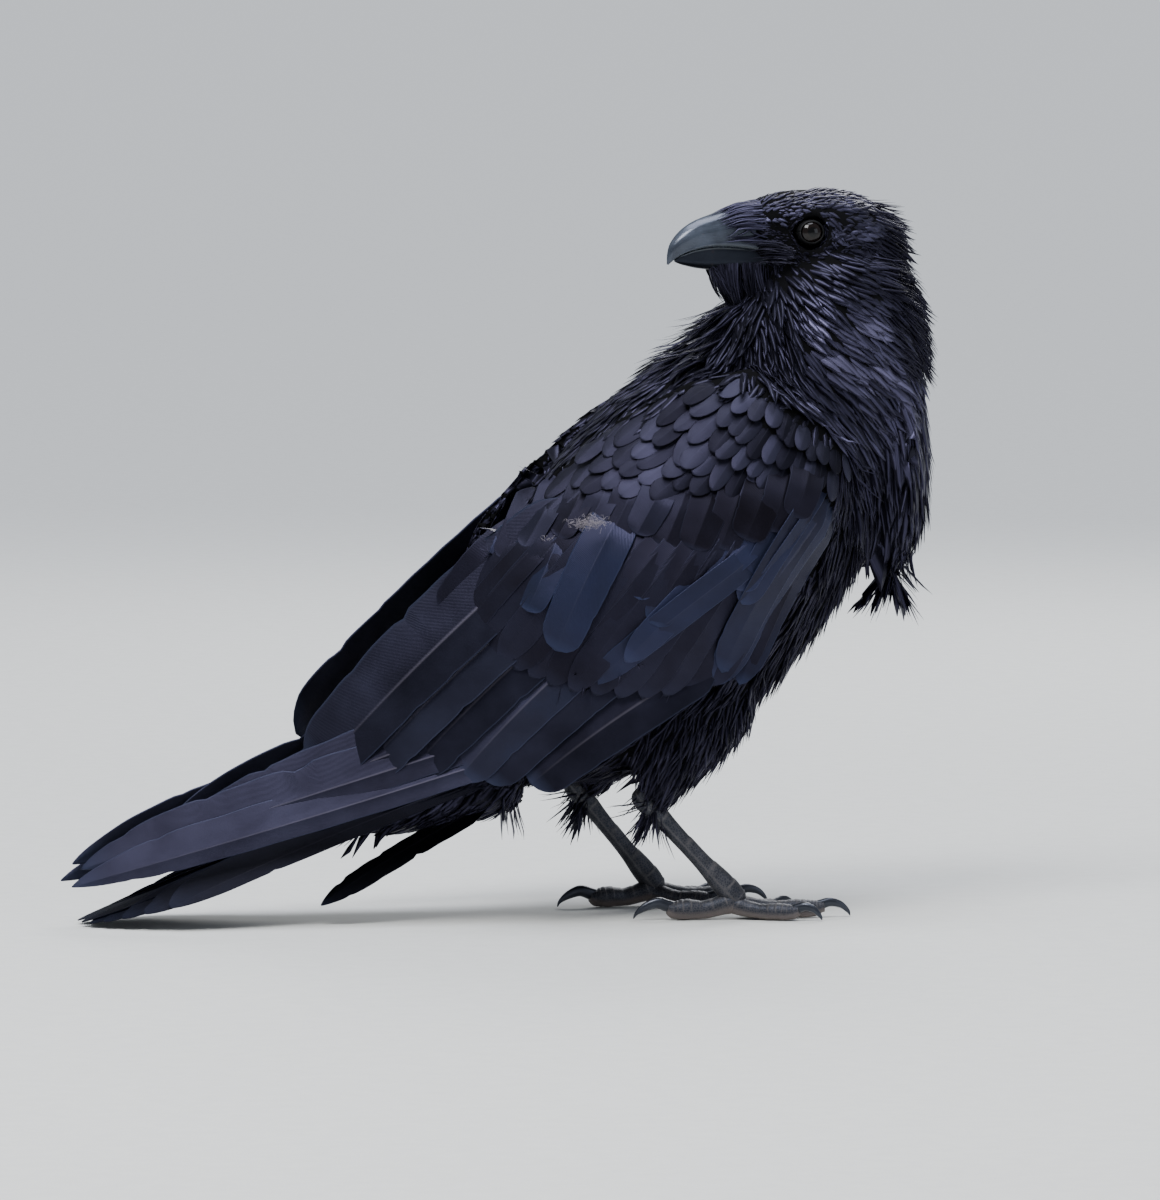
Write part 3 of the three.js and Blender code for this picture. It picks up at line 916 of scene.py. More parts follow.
class CoatNodes(Grower):
    """Grows tufts from root points and lays them along the skin."""

    NAME = "coat"
    INPUTS = {"Skin": "Object", "Tuft": "Object", "Yaw": "Float", "Bend": "Float", "Seed": "Int"}
    NUMBERS = ("share", "across", "height", "reach", "breadth", "rise", "loose", "bend")
    VECTORS = ("out", "lie", "sideways", "grow", "chart")

    LIFT_POWER = 1.25
    SINK = 0.6 * MM
    # A tip this far off the skin starts to hang free, and this far off it does.
    FREE_FROM = 6 * MM
    FREE_AT = 14 * MM
    BEND = 0.1

    def _grown(self, given: Any) -> Any:
        """Plants, bends, lays and maps the tufts."""
        node = self.node
        kinds = {**dict.fromkeys(self.NUMBERS, "FLOAT"), **dict.fromkeys(self.VECTORS, "FLOAT_VECTOR")}
        kept = {name: node("GeometryNodeInputNamedAttribute", {"Name": name}, data_type=kind)
                for name, kind in kinds.items()}
        share, reach, breadth = kept["share"], kept["reach"], kept["breadth"]

        # Each tuft stands on the skin, looks along its lie, and is turned and bent a little at random.
        chance = {}
        for offset, limit in ((1, "Yaw"), (2, "Bend")):
            seed = node("ShaderNodeMath", {0: given["Seed"], 1: offset}, operation="ADD")
            low = node("ShaderNodeMath", {0: given[limit], 1: -1}, operation="MULTIPLY")
            chance[limit] = node("FunctionNodeRandomValue", {2: low, 3: given[limit], "Seed": seed}, give=1)
        upright = node("FunctionNodeAxesToRotation", {0: kept["out"], 1: kept["lie"]}, primary_axis="Z",
                       secondary_axis="X")
        yaw = node("FunctionNodeAxisAngleToRotation", {"Axis": (0, 0, 1), "Angle": chance["Yaw"]})
        turned = node("FunctionNodeRotateRotation", {0: upright, 1: yaw}, rotation_space="LOCAL")
        sideways = node("FunctionNodeRotateVector", {0: (0, 1, 0), 1: turned})
        roots = given["Draft"]
        for name, value, kind in (("sideways", sideways, "FLOAT_VECTOR"), ("bend", chance["Bend"], "FLOAT")):
            roots = node("GeometryNodeStoreNamedAttribute", {"Geometry": roots, "Name": name, "Value": value},
                         data_type=kind, domain="POINT")
        size = node("ShaderNodeCombineXYZ", {0: reach, 1: breadth, 2: breadth})
        tuft = node("GeometryNodeObjectInfo", {"Object": given["Tuft"]}, give="Geometry")
        planted = node("GeometryNodeInstanceOnPoints",
                       {"Points": roots, "Instance": tuft, "Rotation": turned, "Scale": size})
        real = node("GeometryNodeRealizeInstances", {"Geometry": planted})

        # As if nothing held it, it would go straight from its root.
        square = node("ShaderNodeMath", {0: share, 1: share}, operation="MULTIPLY")
        sweep = square
        for factor in (kept["bend"], reach, self.BEND):
            sweep = node("ShaderNodeMath", {0: sweep, 1: factor}, operation="MULTIPLY")
        swept = node("ShaderNodeVectorMath", {0: kept["sideways"], "Scale": sweep}, operation="SCALE")
        here = node("GeometryNodeInputPosition")
        bent = node("ShaderNodeVectorMath", {0: here, 1: swept}, operation="ADD")
        steep = node("ShaderNodeMath", {0: share, 1: self.LIFT_POWER}, operation="POWER")
        lift = node("ShaderNodeMath", {0: steep, 1: kept["rise"], 2: -self.SINK}, operation="MULTIPLY_ADD")
        lifted = node("ShaderNodeVectorMath", {0: kept["out"], "Scale": lift}, operation="SCALE")
        straight = node("ShaderNodeVectorMath", {0: bent, 1: lifted}, operation="ADD")

        # Laid on the skin, each point keeps its own height over the nearest place.
        skin = node("GeometryNodeObjectInfo", {"Object": given["Skin"]}, give="Geometry")
        near = node("GeometryNodeProximity", {0: skin, "Sample Position": bent}, give=None,
                    target_element="FACES")
        grow = node("GeometryNodeSampleNearestSurface", {0: skin, 1: kept["grow"], "Sample Position": bent},
                    data_type="FLOAT_VECTOR")
        high = node("ShaderNodeMath", {0: kept["height"], 1: breadth, 2: lift}, operation="MULTIPLY_ADD")
        raised = node("ShaderNodeVectorMath", {0: grow, "Scale": high}, operation="SCALE")
        laid = node("ShaderNodeVectorMath", {0: near[0], 1: raised}, operation="ADD")

        # Loose tips, and tips that the skin has left, hang free.
        off = node("ShaderNodeMapRange", {0: near[1], 1: self.FREE_FROM, 2: self.FREE_AT},
                   interpolation_type="SMOOTHSTEP")
        loose = node("ShaderNodeMath", {0: square, 1: kept["loose"]}, operation="MULTIPLY")
        free = node("ShaderNodeMath", {0: off, 1: loose}, operation="MAXIMUM")
        final = node("ShaderNodeMix", {0: free, 4: laid, 5: straight}, give=1, data_type="VECTOR")
        moved = node("GeometryNodeSetPosition", {"Geometry": real, "Position": final})

        # Each tuft is a small patch at its root's place on the skin's own unwrap.
        wide = node("ShaderNodeMath", {0: kept["across"], 1: BAKE_PATCH / 2}, operation="MULTIPLY")
        middle = node("ShaderNodeMath", {0: share, 1: 0.5}, operation="SUBTRACT")
        long = node("ShaderNodeMath", {0: middle, 1: BAKE_PATCH}, operation="MULTIPLY")
        patch = node("ShaderNodeCombineXYZ", {0: wide, 1: long})
        spot = node("ShaderNodeVectorMath", {0: kept["chart"], 1: patch}, operation="ADD")
        return node("GeometryNodeStoreNamedAttribute", {"Geometry": moved, "Name": BAKE_MAP, "Value": spot},
                    data_type="FLOAT2", domain="CORNER")


class BristleNodes(Grower):
    """Gives thickness to lines: bristles, barbs and strands of down."""

    NAME = "bristles"
    INPUTS = {"Radius": "Float", "Around": "Int"}

    def _grown(self, given: Any) -> Any:
        """Sweeps a tapering ring along each line."""
        node = self.node
        lines = node("GeometryNodeMeshToCurve", {0: given["Draft"]})
        share = node("GeometryNodeSplineParameter")
        square = node("ShaderNodeMath", {0: share, 1: 2.0}, operation="POWER")
        taper = node("ShaderNodeMath", {0: 1.05, 1: square}, operation="SUBTRACT")
        ring = node("GeometryNodeCurvePrimitiveCircle",
                    {"Resolution": given["Around"], "Radius": given["Radius"]})
        return node("GeometryNodeCurveToMesh",
                    {"Curve": lines, "Profile Curve": ring, "Scale": taper, "Fill Caps": True})

    def make(
        self, name: str, lines: Sequence[Array], radius: float, finish: bpy.types.Material, around: int = 4
    ) -> bpy.types.Object:
        """Makes one piece of bristles.

        Args:
            name: The piece's name.
            lines: Each bristle's points from root to tip, in the bird's frame.
            radius: The thickness at the root, as a radius in millimetres.
            finish: The material.
            around: How many sides a bristle has.

        Returns:
            The finished object.
        """
        counts = [len(line) for line in lines]
        starts = np.cumsum([0, *counts[:-1]]).tolist()
        edges = [(start + i, start + i + 1) for start, n in zip(starts, counts) for i in range(n - 1)]
        draft = bpy.data.meshes.new(name)
        draft.from_pydata(to_model(np.vstack(lines)).tolist(), edges, [])
        rng = np.random.default_rng(len(lines))
        write(draft, "tone", np.concatenate([np.full(n, rng.random()) for n in counts]))
        write(draft, "share", np.concatenate([np.linspace(0, 0.9, n) for n in counts]))
        mesh = self.run(draft, Radius=radius * MM, Around=around, Finish=finish)
        return carry(show(mesh), Slot.PLUMAGE)


# ---- The coat --------------------------------------------------------------------------------


@dataclass(frozen=True)
class Coat:
    """One piece of the coat: where it grows, and the size, lie and finish of its tufts.

    The functions take arrays of points and normals in the bird's frame. `where` gives the share of
    roots kept, and the sizes are in millimetres. `lock` is the distance between locks of tufts,
    and `gather` how far their tips draw together.
    """

    name: str
    tuft: Tuft
    seed: int
    spacing: float
    where: Callable[[Array, Array], Array]
    lie: Callable[[Array, Array], Array]
    reach: Size
    breadth: Size
    rise: Size
    loose: Size
    finish: FeatherFinish
    yaw: float = 0.12
    bend: float = 1.0
    spread: float = 0.18
    lock: float = 0.0
    gather: float = 0.5
    shade: Callable[[Array], Array] | None = None
    wing_side: Side | None = None


class Coats:
    """Grows every coat piece on the skin."""

    HIDDEN = ("lie", "out", "sideways", "bend", "reach", "breadth", "rise", "loose", "chart", "height")
    # How many roots are tried for each place that could hold one.
    TRIES = 3.2
    # The wings' rows of small coverts: arcs round this point over the wing, from side view.
    ROW_CENTRE = np.array([178.0, 437.0])
    ROW_LEAD = np.array([-0.62, -0.785])
    ROW_RADII = (190, 400)
    ROW_MIDDLE = 285
    ROW_HALF = 40
    ACROSS = 6.6
    ALONG = 9.6
    # A root on a wing stands at least this far from the bird's middle plane.
    WING_FROM = 14
    # How far a gathered lock may leave the skin or dive into it, as the sine of the angle.
    STEEP = (-0.3, 0.25)
    LIFT = (0.55, 1.5)
    LOCK_TONE = 0.65

    def __init__(self, skin: Skin) -> None:
        """Makes the tufts and the node tree.

        Args:
            skin: The skin that the coat grows on.
        """
        self.skin = skin
        self.nodes = CoatNodes()
        self.tufts = {kind: shape.make(kind) for kind, shape in TUFTS.items()}
        a, b, c = skin.points[skin.triangles].swapaxes(0, 1)
        self.area = np.linalg.norm(np.cross(b - a, c - a), axis=1) / 2
        self.middle = skin.points[skin.triangles].mean(axis=1)

    def roots(self, coat: Coat) -> tuple[Array, Array]:
        """Scatters roots that keep their distance from each other.

        Args:
            coat: The piece to scatter for.

        Returns:
            The roots' places and the skin's normals there.
        """
        rng = np.random.default_rng(coat.seed)
        slope = unit(self.skin.normals[self.skin.triangles].mean(axis=1))
        weight = self.area * np.clip(coat.where(self.middle, slope), 0, 1)
        count = int(self.TRIES * weight.sum() / coat.spacing**2)
        chosen = rng.choice(len(weight), count, p=weight / weight.sum())
        a, b = rng.random((2, count))
        over = a + b > 1
        a, b = np.where(over, 1 - a, a), np.where(over, 1 - b, b)
        part = np.stack([1 - a - b, a, b], axis=1)[..., None]
        corners = self.skin.triangles[chosen]
        points = (self.skin.points[corners] * part).sum(axis=1)
        normals = unit((self.skin.normals[corners] * part).sum(axis=1))
        keep = self._apart(points, coat.spacing)
        return points[keep], normals[keep]

    def rows(self, coat: Coat) -> tuple[Array, Array]:
        """Sets roots in staggered rows on one wing, as real coverts stand.

        Args:
            coat: The piece to set roots for.

        Returns:
            The roots' places and the skin's normals there.
        """
        rng = np.random.default_rng(coat.seed)
        sign = coat.wing_side.value
        lead = self.ROW_LEAD
        across = np.array([-lead[1], lead[0]])
        points, faces = [], []
        for k, far in enumerate(np.arange(*self.ROW_RADII, self.ALONG)):
            for n in range(-self.ROW_HALF, self.ROW_HALF):
                turn = (n + 0.5 * (k % 2) + rng.uniform(-0.12, 0.12)) * self.ACROSS / self.ROW_MIDDLE
                gap = far + rng.uniform(-0.14, 0.14) * self.ALONG
                x, z = self.ROW_CENTRE + gap * (math.cos(turn) * lead + math.sin(turn) * across)
                start = Vector((x, RAY_FROM * sign, z))
                spot, _, face, _ = self.skin.bvh.ray_cast(start, Vector((0, -sign, 0)))
                if spot is not None and abs(spot.y) >= self.WING_FROM:
                    points.append(tuple(spot))
                    faces.append(face)
        normals = unit(self.skin.normals[self.skin.triangles[faces]].mean(axis=1))
        inside = (coat.where(self.middle, normals)[faces] > 0) & (normals[:, 1] * sign > 0.5)
        return np.array(points)[inside], normals[inside]

    @staticmethod
    def _apart(points: Array, spacing: float) -> list[int]:
        """The indices of points that lie no nearer to each other than `spacing`."""
        cells: dict[tuple[int, int, int], list[int]] = {}
        near = [(i, j, k) for i in (-1, 0, 1) for j in (-1, 0, 1) for k in (-1, 0, 1)]
        rows = points.tolist()
        limit = spacing * spacing
        keep = []
        for n, (x, y, z) in enumerate(np.floor(points / spacing).astype(int).tolist()):
            px, py, pz = rows[n]
            around = (rows[m] for i, j, k in near for m in cells.get((x + i, y + j, z + k), ()))
            if all((px - ox) ** 2 + (py - oy) ** 2 + (pz - oz) ** 2 >= limit for ox, oy, oz in around):
                cells.setdefault((x, y, z), []).append(n)
                keep.append(n)
        return keep

    @staticmethod
    def _along(lie: Array, normals: Array) -> Array:
        """Lays directions along the skin, and leads those that meet it head-on towards the tail."""
        lie = unit(lie)
        for _ in range(2):
            lie = lie - normals * (lie * normals).sum(axis=1, keepdims=True)
            weak = np.clip(0.5 - np.linalg.norm(lie, axis=1), 0, 1)[:, None]
            lie = lie + weak * BODY_LIE * 2
        return unit(lie)

    def _gathered(
        self, coat: Coat, points: Array, normals: Array, lie: Array, reach: Array, rng: np.random.Generator
    ) -> tuple[Array, Array, Array]:
        """Gathers tufts into locks, whose tips draw together.

        Args:
            coat: The piece.
            points: The roots.
            normals: The skin's normals at the roots.
            lie: The roots' own directions.
            reach: The tufts' lengths.
            rng: The source of random numbers.

        Returns:
            The new directions, and each root's share of rise and its lock's tone.
        """
        heads = self._apart(points, coat.lock)
        tree = KDTree(len(heads))
        for i, head in enumerate(heads):
            tree.insert(points[head], i)
        tree.balance()
        near = np.array([tree.find(point)[1] for point in points])
        tips = points + lie * reach[:, None]
        lie = unit(lerp(tips, tips[np.array(heads)[near]], coat.gather) - points)
        lift = rng.uniform(*self.LIFT, len(heads))[near]
        off = (lie * normals).sum(axis=1)
        lie = unit(lie - normals * (off - np.clip(off, *self.STEEP))[:, None])
        return lie, lift, rng.random(len(heads))[near]

    def grow(self, coat: Coat) -> bpy.types.Object:
        """Grows one piece.

        Args:
            coat: The piece.

        Returns:
            The finished object.
        """
        points, normals = self.rows(coat) if coat.wing_side else self.roots(coat)
        rng = np.random.default_rng(coat.seed + 1000)
        vary = 1 + coat.spread * rng.uniform(-1, 1, (3, len(points)))
        tone = rng.random(len(points))
        lie = self._along(coat.lie(points, normals), normals)
        reach, breadth, rise, loose = (
            size(points) if callable(size) else np.full(len(points), float(size))
            for size in (coat.reach, coat.breadth, coat.rise, coat.loose)
        )
        if coat.lock:
            lie, lift, shade = self._gathered(coat, points, normals, lie, reach, rng)
            rise, tone = rise * lift, lerp(tone, shade, self.LOCK_TONE)
        # A coat's shade scales its tone by place; on the hackles this paints the sheen on the side of the
        # neck.
        if coat.shade:
            tone = tone * coat.shade(points)
        values = {
            "out": normals,
            "lie": lie,
            "chart": np.pad(self.skin.chart(points), ((0, 0), (0, 1))),
            "reach": reach * vary[0] * MM,
            "breadth": breadth * vary[1] * MM,
            "rise": rise * vary[2] ** 2 * MM,
            "loose": np.clip(loose * vary[0], 0, 1),
            "tone": tone,
        }
        draft = bpy.data.meshes.new(coat.name)
        draft.vertices.add(len(points))
        place_points(draft, to_model(points))
        for name, numbers in values.items():
            write(draft, name, numbers)
        mesh = self.nodes.run(draft, Skin=self.skin.item, Tuft=self.tufts[coat.tuft], Yaw=coat.yaw,
                              Bend=coat.bend, Seed=coat.seed, Finish=coat.finish.make())
        for name in self.HIDDEN:
            if name in mesh.attributes:
                mesh.attributes.remove(mesh.attributes[name])
        shade_smooth(mesh)
        return carry(show(mesh), Slot.PLUMAGE)


# ---- Large feathers --------------------------------------------------------------------------


@dataclass(frozen=True)
class Quill:
    """One large feather.

    `spine` holds points along the shaft from root to tip, and `across` the direction of the width
    at each. `lean` is the share of the vane on the positive side of the shaft.
    """

    spine: tuple[Place, ...]
    across: tuple[Place, ...]
    facing: Place
    width: float
    lean: float = 0.5
    pointed: float = 0.4
    camber: float = 0.10
    ragged: float = 0.5
    tone: float = 0.5
    rows: int = 40


class Vanes:
    """Builds large feathers as closed thin vanes with a raised shaft, joined in one piece."""

    COLUMNS = np.array([-1, -0.96, -0.62, -0.3, -0.07, 0, 0.07, 0.3, 0.62, 0.96, 1])
    THICK = 0.4
    SHAFT_HIGH = 0.42
    SHAFT_HALF = 0.9
    # The vane is never narrower than this share of its width.
    LEAST = 0.03

    def __init__(self, name: str, seed: int) -> None:
        """Starts a piece.

        Args:
            name: The piece's name.
            seed: The seed of its wear.
        """
        self.name = name
        self.shell = Shell()
        self.rng = np.random.default_rng(seed)

    def outline(self, quill: Quill, share: Array) -> Array:
        """The half width of the vane by share of its length, before wear."""
        tip_from = lerp(0.90, 0.76, quill.pointed)
        rise = np.minimum(1, (0.16 + share / 0.16)) ** 0.8
        swell = 0.86 + 0.14 * np.sin(np.pi * np.clip(share * 1.1, 0, 1))
        t = np.clip((share - tip_from) / (1 - tip_from), 0, 1)
        fall = (1 - t ** lerp(2.6, 1.7, quill.pointed)) ** lerp(0.55, 0.8, quill.pointed)
        return quill.width * rise * swell * np.maximum(fall, self.LEAST)

    def _nicks(self, quill: Quill, share: Array) -> Array:
        """The share of the half width left by nicks in one edge."""
        left = np.ones_like(share)
        for _ in range(self.rng.integers(1, 4)):
            at = self.rng.uniform(0.45, 0.98)
            deep = quill.ragged * self.rng.uniform(0.05, 0.2)
            left -= deep * bell((share - at) / self.rng.uniform(0.006, 0.02))
        ripple = np.sin(share * self.rng.uniform(30, 60) + self.rng.uniform(0, 6))
        return left * (1 + 0.015 * quill.ragged * ripple)

    def add(self, quill: Quill) -> None:
        """Adds one feather."""
        even = np.linspace(0, 1, quill.rows)
        share = 1 - (1 - even) ** 1.25
        centre = smooth_curve(np.array(quill.spine), share)
        along = unit(np.gradient(centre, axis=0))
        wide = smooth_curve(np.array(quill.across), share)
        wide = unit(wide - along * (wide * along).sum(axis=1, keepdims=True))
        out = np.cross(along, wide)
        if (out @ np.array(quill.facing)).mean() < 0:
            out = -out
        half = self.outline(quill, share)
        sides = {1: quill.lean, -1: 1 - quill.lean}
        reach = {sign: (half * part * self._nicks(quill, share))[:, None] for sign, part in sides.items()}
        droop = quill.camber / math.sqrt(max(quill.width, 1))
        over, under = self.COLUMNS, self.COLUMNS[::-1][1:-1:2]
        top, low = (np.where(row >= 0, row * reach[1], row * reach[-1]) for row in (over, under))
        shaft = self.SHAFT_HIGH * bell(top / self.SHAFT_HALF) * (1.15 - share[:, None])
        crown = -droop * np.abs(top) ** 1.5 + shaft
        floor = -droop * np.abs(low) ** 1.5 - self.THICK
        lateral = np.concatenate([top, low], axis=1)
        height = np.concatenate([crown, floor], axis=1)
        rings = centre[:, None] + lateral[..., None] * wide[:, None] + height[..., None] * out[:, None]
        across = np.concatenate([over, under])[None, :]
        self.shell.tube(rings, share=share[:, None], across=across, tone=quill.tone)

    def finish(self, material: bpy.types.Material, slot: Slot, *nodes: str) -> bpy.types.Object:
        """Makes the piece.

        Args:
            material: The feathers' finish.
            slot: The record's slot.
            *nodes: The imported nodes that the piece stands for.

        Returns:
            The finished object.
        """
        return carry(show(self.shell.mesh(self.name), material), slot, *nodes)


def blade(
    root: Place, tip: Place, width: float, facing: Place, bow: float = 0.0, arch: float = 0.0, **rest: Any
) -> Quill:
    """Lays out a feather between two points.

    Args:
        root: The shaft's start.
        tip: The shaft's end.
        width: The vane's width.
        facing: The direction that its outer face looks.
        bow: How far the shaft bends in the vane's plane.
        arch: How far the shaft bends out of it.
        **rest: Further fields of Quill.

    Returns:
        The feather.
    """
    start, end = np.array(root, float), np.array(tip, float)
    line = end - start
    across = unit(np.cross(line, facing))
    out = unit(np.cross(across, line))
    shares = np.linspace(0, 1, 7)
    spine = [start + line * t + (across * bow + out * arch) * 4 * t * (1 - t) for t in shares]
    return Quill(tuple(map(tuple, spine)), (tuple(across),) * len(spine), facing, width, **rest)


@dataclass(frozen=True)
class Laid:
    """A large covert laid on the wing: its root and tip seen from the side, width and tone.

    `hidden` is the length over which its root lies under the rows above it.
    """

    root: tuple[float, float]
    tip: tuple[float, float]
    width: float
    lift: float
    tone: float
    bow: float = 0.0
    pointed: float = 0.1
    lean: float = 0.5
    hidden: float = 10.0


@dataclass
class Wing:
    """One folded wing: flight feathers in a stack, and the large coverts laid over their roots."""

    side: Side
    flight: bpy.types.Material
    greater: bpy.types.Material
    median: bpy.types.Material
    lift: float = 0.0

    # How deep the coverts' roots lie, and the places across a covert where the wing is felt for.
    SUNK = -4.5
    FEELERS = (-0.35, 0, 0.35)
    BOW = {Side.RIGHT: 1.0, Side.LEFT: -0.5}
    # Root, tip, width, bow and tilt, from the innermost feather outwards.
    ARM = (
        ((-58, 51, 196), (-189, 22, 68), 40, -4, 0.75),
        ((-52, 55, 180), (-170, 29, 68), 38, -4, 0.6),
        ((-42, 58, 168), (-148, 35, 69), 36, -4, 0.5),
        ((-34, 61, 154), (-125, 42, 68), 33, -4, 0.4),
        ((-25, 63, 142), (-112, 46, 67), 32, -4, 0.3),
        ((-4, 66, 126), (-92, 51, 66), 34, -3, 0.25),
    )
    HAND = (
        ((-62, 50, 122), (-206, 22, 48), 27, -3, 0.3),
        ((-56, 51, 114), (-256, 17, 38), 26, -3, 0.3),
        ((-50, 52, 106), (-297, 13, 27), 24, 0, 0.3),
        ((-44, 53, 98), (-302, 16, 19), 21, 2, 0.3),
    )
    # Where the base row starts and ends, from the wrist to the elbow.
    BASE_ROOTS = ((48, 206), (18, 202), (-16, 198), (-52, 200), (-86, 190))
    BASE_TIPS = ((2, 114), (-42, 106), (-84, 112), (-112, 128), (-130, 146))
    BASE_COUNT = 17
    # The greater coverts, the lowest first.
    GREATER = (
        Laid((22, 181), (-66, 113), 15, 0.5, 0.7, bow=-3, pointed=0.5, hidden=16),
        Laid((25, 193), (-52, 124), 16, 0.8, 0.95, bow=-3, pointed=0.4, hidden=20),
        Laid((14, 201), (-41, 142), 18, 1.0, 0.6, hidden=20),
        Laid((52, 192), (4, 112), 17, 0.6, 0.55, bow=-4, pointed=0.6),
        Laid((49, 198), (-7, 112), 20, 0.9, 0.75, bow=-4, pointed=0.6),
        Laid((46, 203), (-5, 118), 20, 1.2, 0.5, bow=-4, pointed=0.5),
        Laid((48, 215), (3, 150), 18, 1.5, 0.8, bow=-3, pointed=0.3, hidden=14),
        Laid((36, 211), (0, 157), 20, 1.7, 1.0, bow=-2, hidden=14),
        Laid((-96, 186), (-107, 166), 11, 0.8, 0.75, hidden=4),
        Laid((-82, 194), (-109, 149), 18, 0.9, 0.6, hidden=14),
        Laid((-73, 196), (-95, 147), 19, 1.2, 0.75, hidden=14),
        Laid((-45, 204), (-83, 129), 24, 1.6, 0.8, bow=-3, hidden=18),
        Laid((-36, 202), (-53, 153), 15, 1.3, 0.5, hidden=18),
        Laid((-30, 200), (-46, 153), 13, 1.6, 0.7, hidden=18),
        Laid((-24, 196), (-36, 160), 14, 1.4, 0.5, hidden=14),
        Laid((-8, 202), (-23, 163), 19, 1.5, 0.9, hidden=16),
        Laid((9, 208), (-6, 172), 16, 1.7, 0.95, hidden=14),
    )
    MEDIAN = (
        Laid((-84, 202), (-103, 170), 16, 2.2, 0.5, pointed=0.3, hidden=12),
        Laid((-74, 208), (-94, 176), 17, 2.7, 0.7, pointed=0.3, hidden=13),
        Laid((-60, 214), (-80, 181), 17, 2.4, 0.4, pointed=0.3, hidden=14),
        Laid((-50, 216), (-69, 183), 16, 2.9, 0.7, pointed=0.3, hidden=14),
        Laid((-38, 218), (-58, 181), 18, 2.5, 0.4, pointed=0.3, hidden=16),
        Laid((-27, 216), (-46, 183), 17, 3.0, 0.6, pointed=0.3, hidden=14),
        Laid((-16, 216), (-34, 177), 19, 2.6, 0.3, pointed=0.2, hidden=17),
        Laid((-4, 216), (-21, 176), 19, 3.0, 0.15, pointed=0.2, hidden=17),
        Laid((9, 218), (-8, 176), 20, 2.7, 0.25, pointed=0.2, hidden=18),
        Laid((21, 218), (4, 180), 20, 3.1, 0.1, pointed=0.2, hidden=17),
        Laid((32, 222), (16, 184), 19, 2.8, 0.3, pointed=0.2, hidden=18),
        Laid((42, 224), (28, 190), 17, 3.1, 0.4, pointed=0.2, hidden=16),
    )
    ARM_TONES = (0.35, 0.6, 0.3, 0.7, 0.4, 0.2)
    # How far each feather of the arm stands off the next one further out.
    ARM_STEP = 0.35

    def _raise(self, x: float) -> float:
        """How much higher this wing lies at `x` than the near one."""
        return self.lift * float(smoothstep(90, 190, -x))

    def _raised(self, place: Place) -> Array:
        """A place on the wing with its side, and with the far wing's lift."""
        x, y, z = place
        return np.array([x, y * self.side.value, z + self._raise(x)])

    def _laid(self, tree: BVHTree, one: Laid) -> Quill:
        """Lays one covert on the wing's outer face."""
        sign = self.side.value
        line = np.array([one.tip[0] - one.root[0], one.tip[1] - one.root[1]])
        cross = np.array([-line[1], line[0]]) / np.linalg.norm(line)
        shares = np.linspace(0, 1, 9)
        grid = np.full((len(shares), len(self.FEELERS)), np.nan)
        for i, t in enumerate(shares):
            for k, off in enumerate(self.FEELERS):
                x, z = np.array(one.root) + line * t + cross * off * one.width
                start = Vector((x, RAY_FROM * sign, z + self._raise(x)))
                hit = tree.ray_cast(start, Vector((0, -sign, 0)))[0]
                if hit is not None:
                    grid[i, k] = abs(hit.y)
        known = np.where(np.isfinite(grid), grid, np.nanmean(grid))
        # A quadratic through the hits bridges the steps between the feathers underneath.
        fits = np.stack([np.polyval(np.polyfit(shares, row, 2), shares) for row in known.T], axis=1)
        excess = min(np.maximum(0, (known - fits)[3:, :]).max(), 2.0) * 0.6
        # The roots lie under the rows above.
        out = shares * np.linalg.norm(line)
        shown = smoothstep(one.hidden - 12, one.hidden + 8, out)
        fits += lerp(self.SUNK, one.lift + excess, shown)[:, None]
        bow = one.bow * 4 * shares * (1 - shares)
        near, spine, far = (
            [
                self._raised((one.root[0] + line[0] * t + cross[0] * (off * one.width + bend), y,
                              one.root[1] + line[1] * t + cross[1] * (off * one.width + bend)))
                for t, y, bend in zip(shares, fits[:, k], bow)
            ]
            for k, off in enumerate(self.FEELERS)
        )
        across = [unit(b - a) for a, b in zip(near, far)]
        return Quill(tuple(map(tuple, spine)), tuple(map(tuple, across)), (0, sign, 0.2), one.width, one.lean,
                     one.pointed, camber=0.05, ragged=0.35, tone=one.tone, rows=26)

    def _arm(self, seed: int) -> bpy.types.Object:
        """Builds the secondaries."""
        name, sign = self.side.label, self.side.value
        arm = Vanes(f"wing_{name}_secondaries_vanes", seed)
        for i, (root, tip, width, bow, tilt) in enumerate(self.ARM):
            facing = (0, sign, tilt)
            out = unit(np.array(facing)) * self.ARM_STEP * (len(self.ARM) - i)
            start, end = (tuple(self._raised(place) + out) for place in (root, tip))
            arm.add(blade(start, end, width, facing, bow * (self.BOW[self.side] * sign), 2.0,
                          tone=self.ARM_TONES[i], lean=0.5 - 0.1 * sign, pointed=0.2, camber=0.06))
        return arm.finish(self.flight, Slot.FLIGHT, f"wing_{name}_secondaries")

    def _hand(self, seed: int) -> bpy.types.Object:
        """Builds the primaries."""
        name, sign = self.side.label, self.side.value
        hand = Vanes(f"wing_{name}_primaries_vanes", seed)
        for i, (root, tip, width, bow, tilt) in enumerate(self.HAND):
            start, end = ((x, y * sign, z) for x, y, z in (root, tip))
            hand.add(blade(start, end, width, (0, sign, tilt), bow * sign, 1.5, tone=0.2 + 0.12 * i,
                           lean=0.5 - 0.16 * sign, pointed=0.8, ragged=1.0, rows=56, camber=0.06))
        return hand.finish(self.flight, Slot.FLIGHT, f"wing_{name}_primaries")

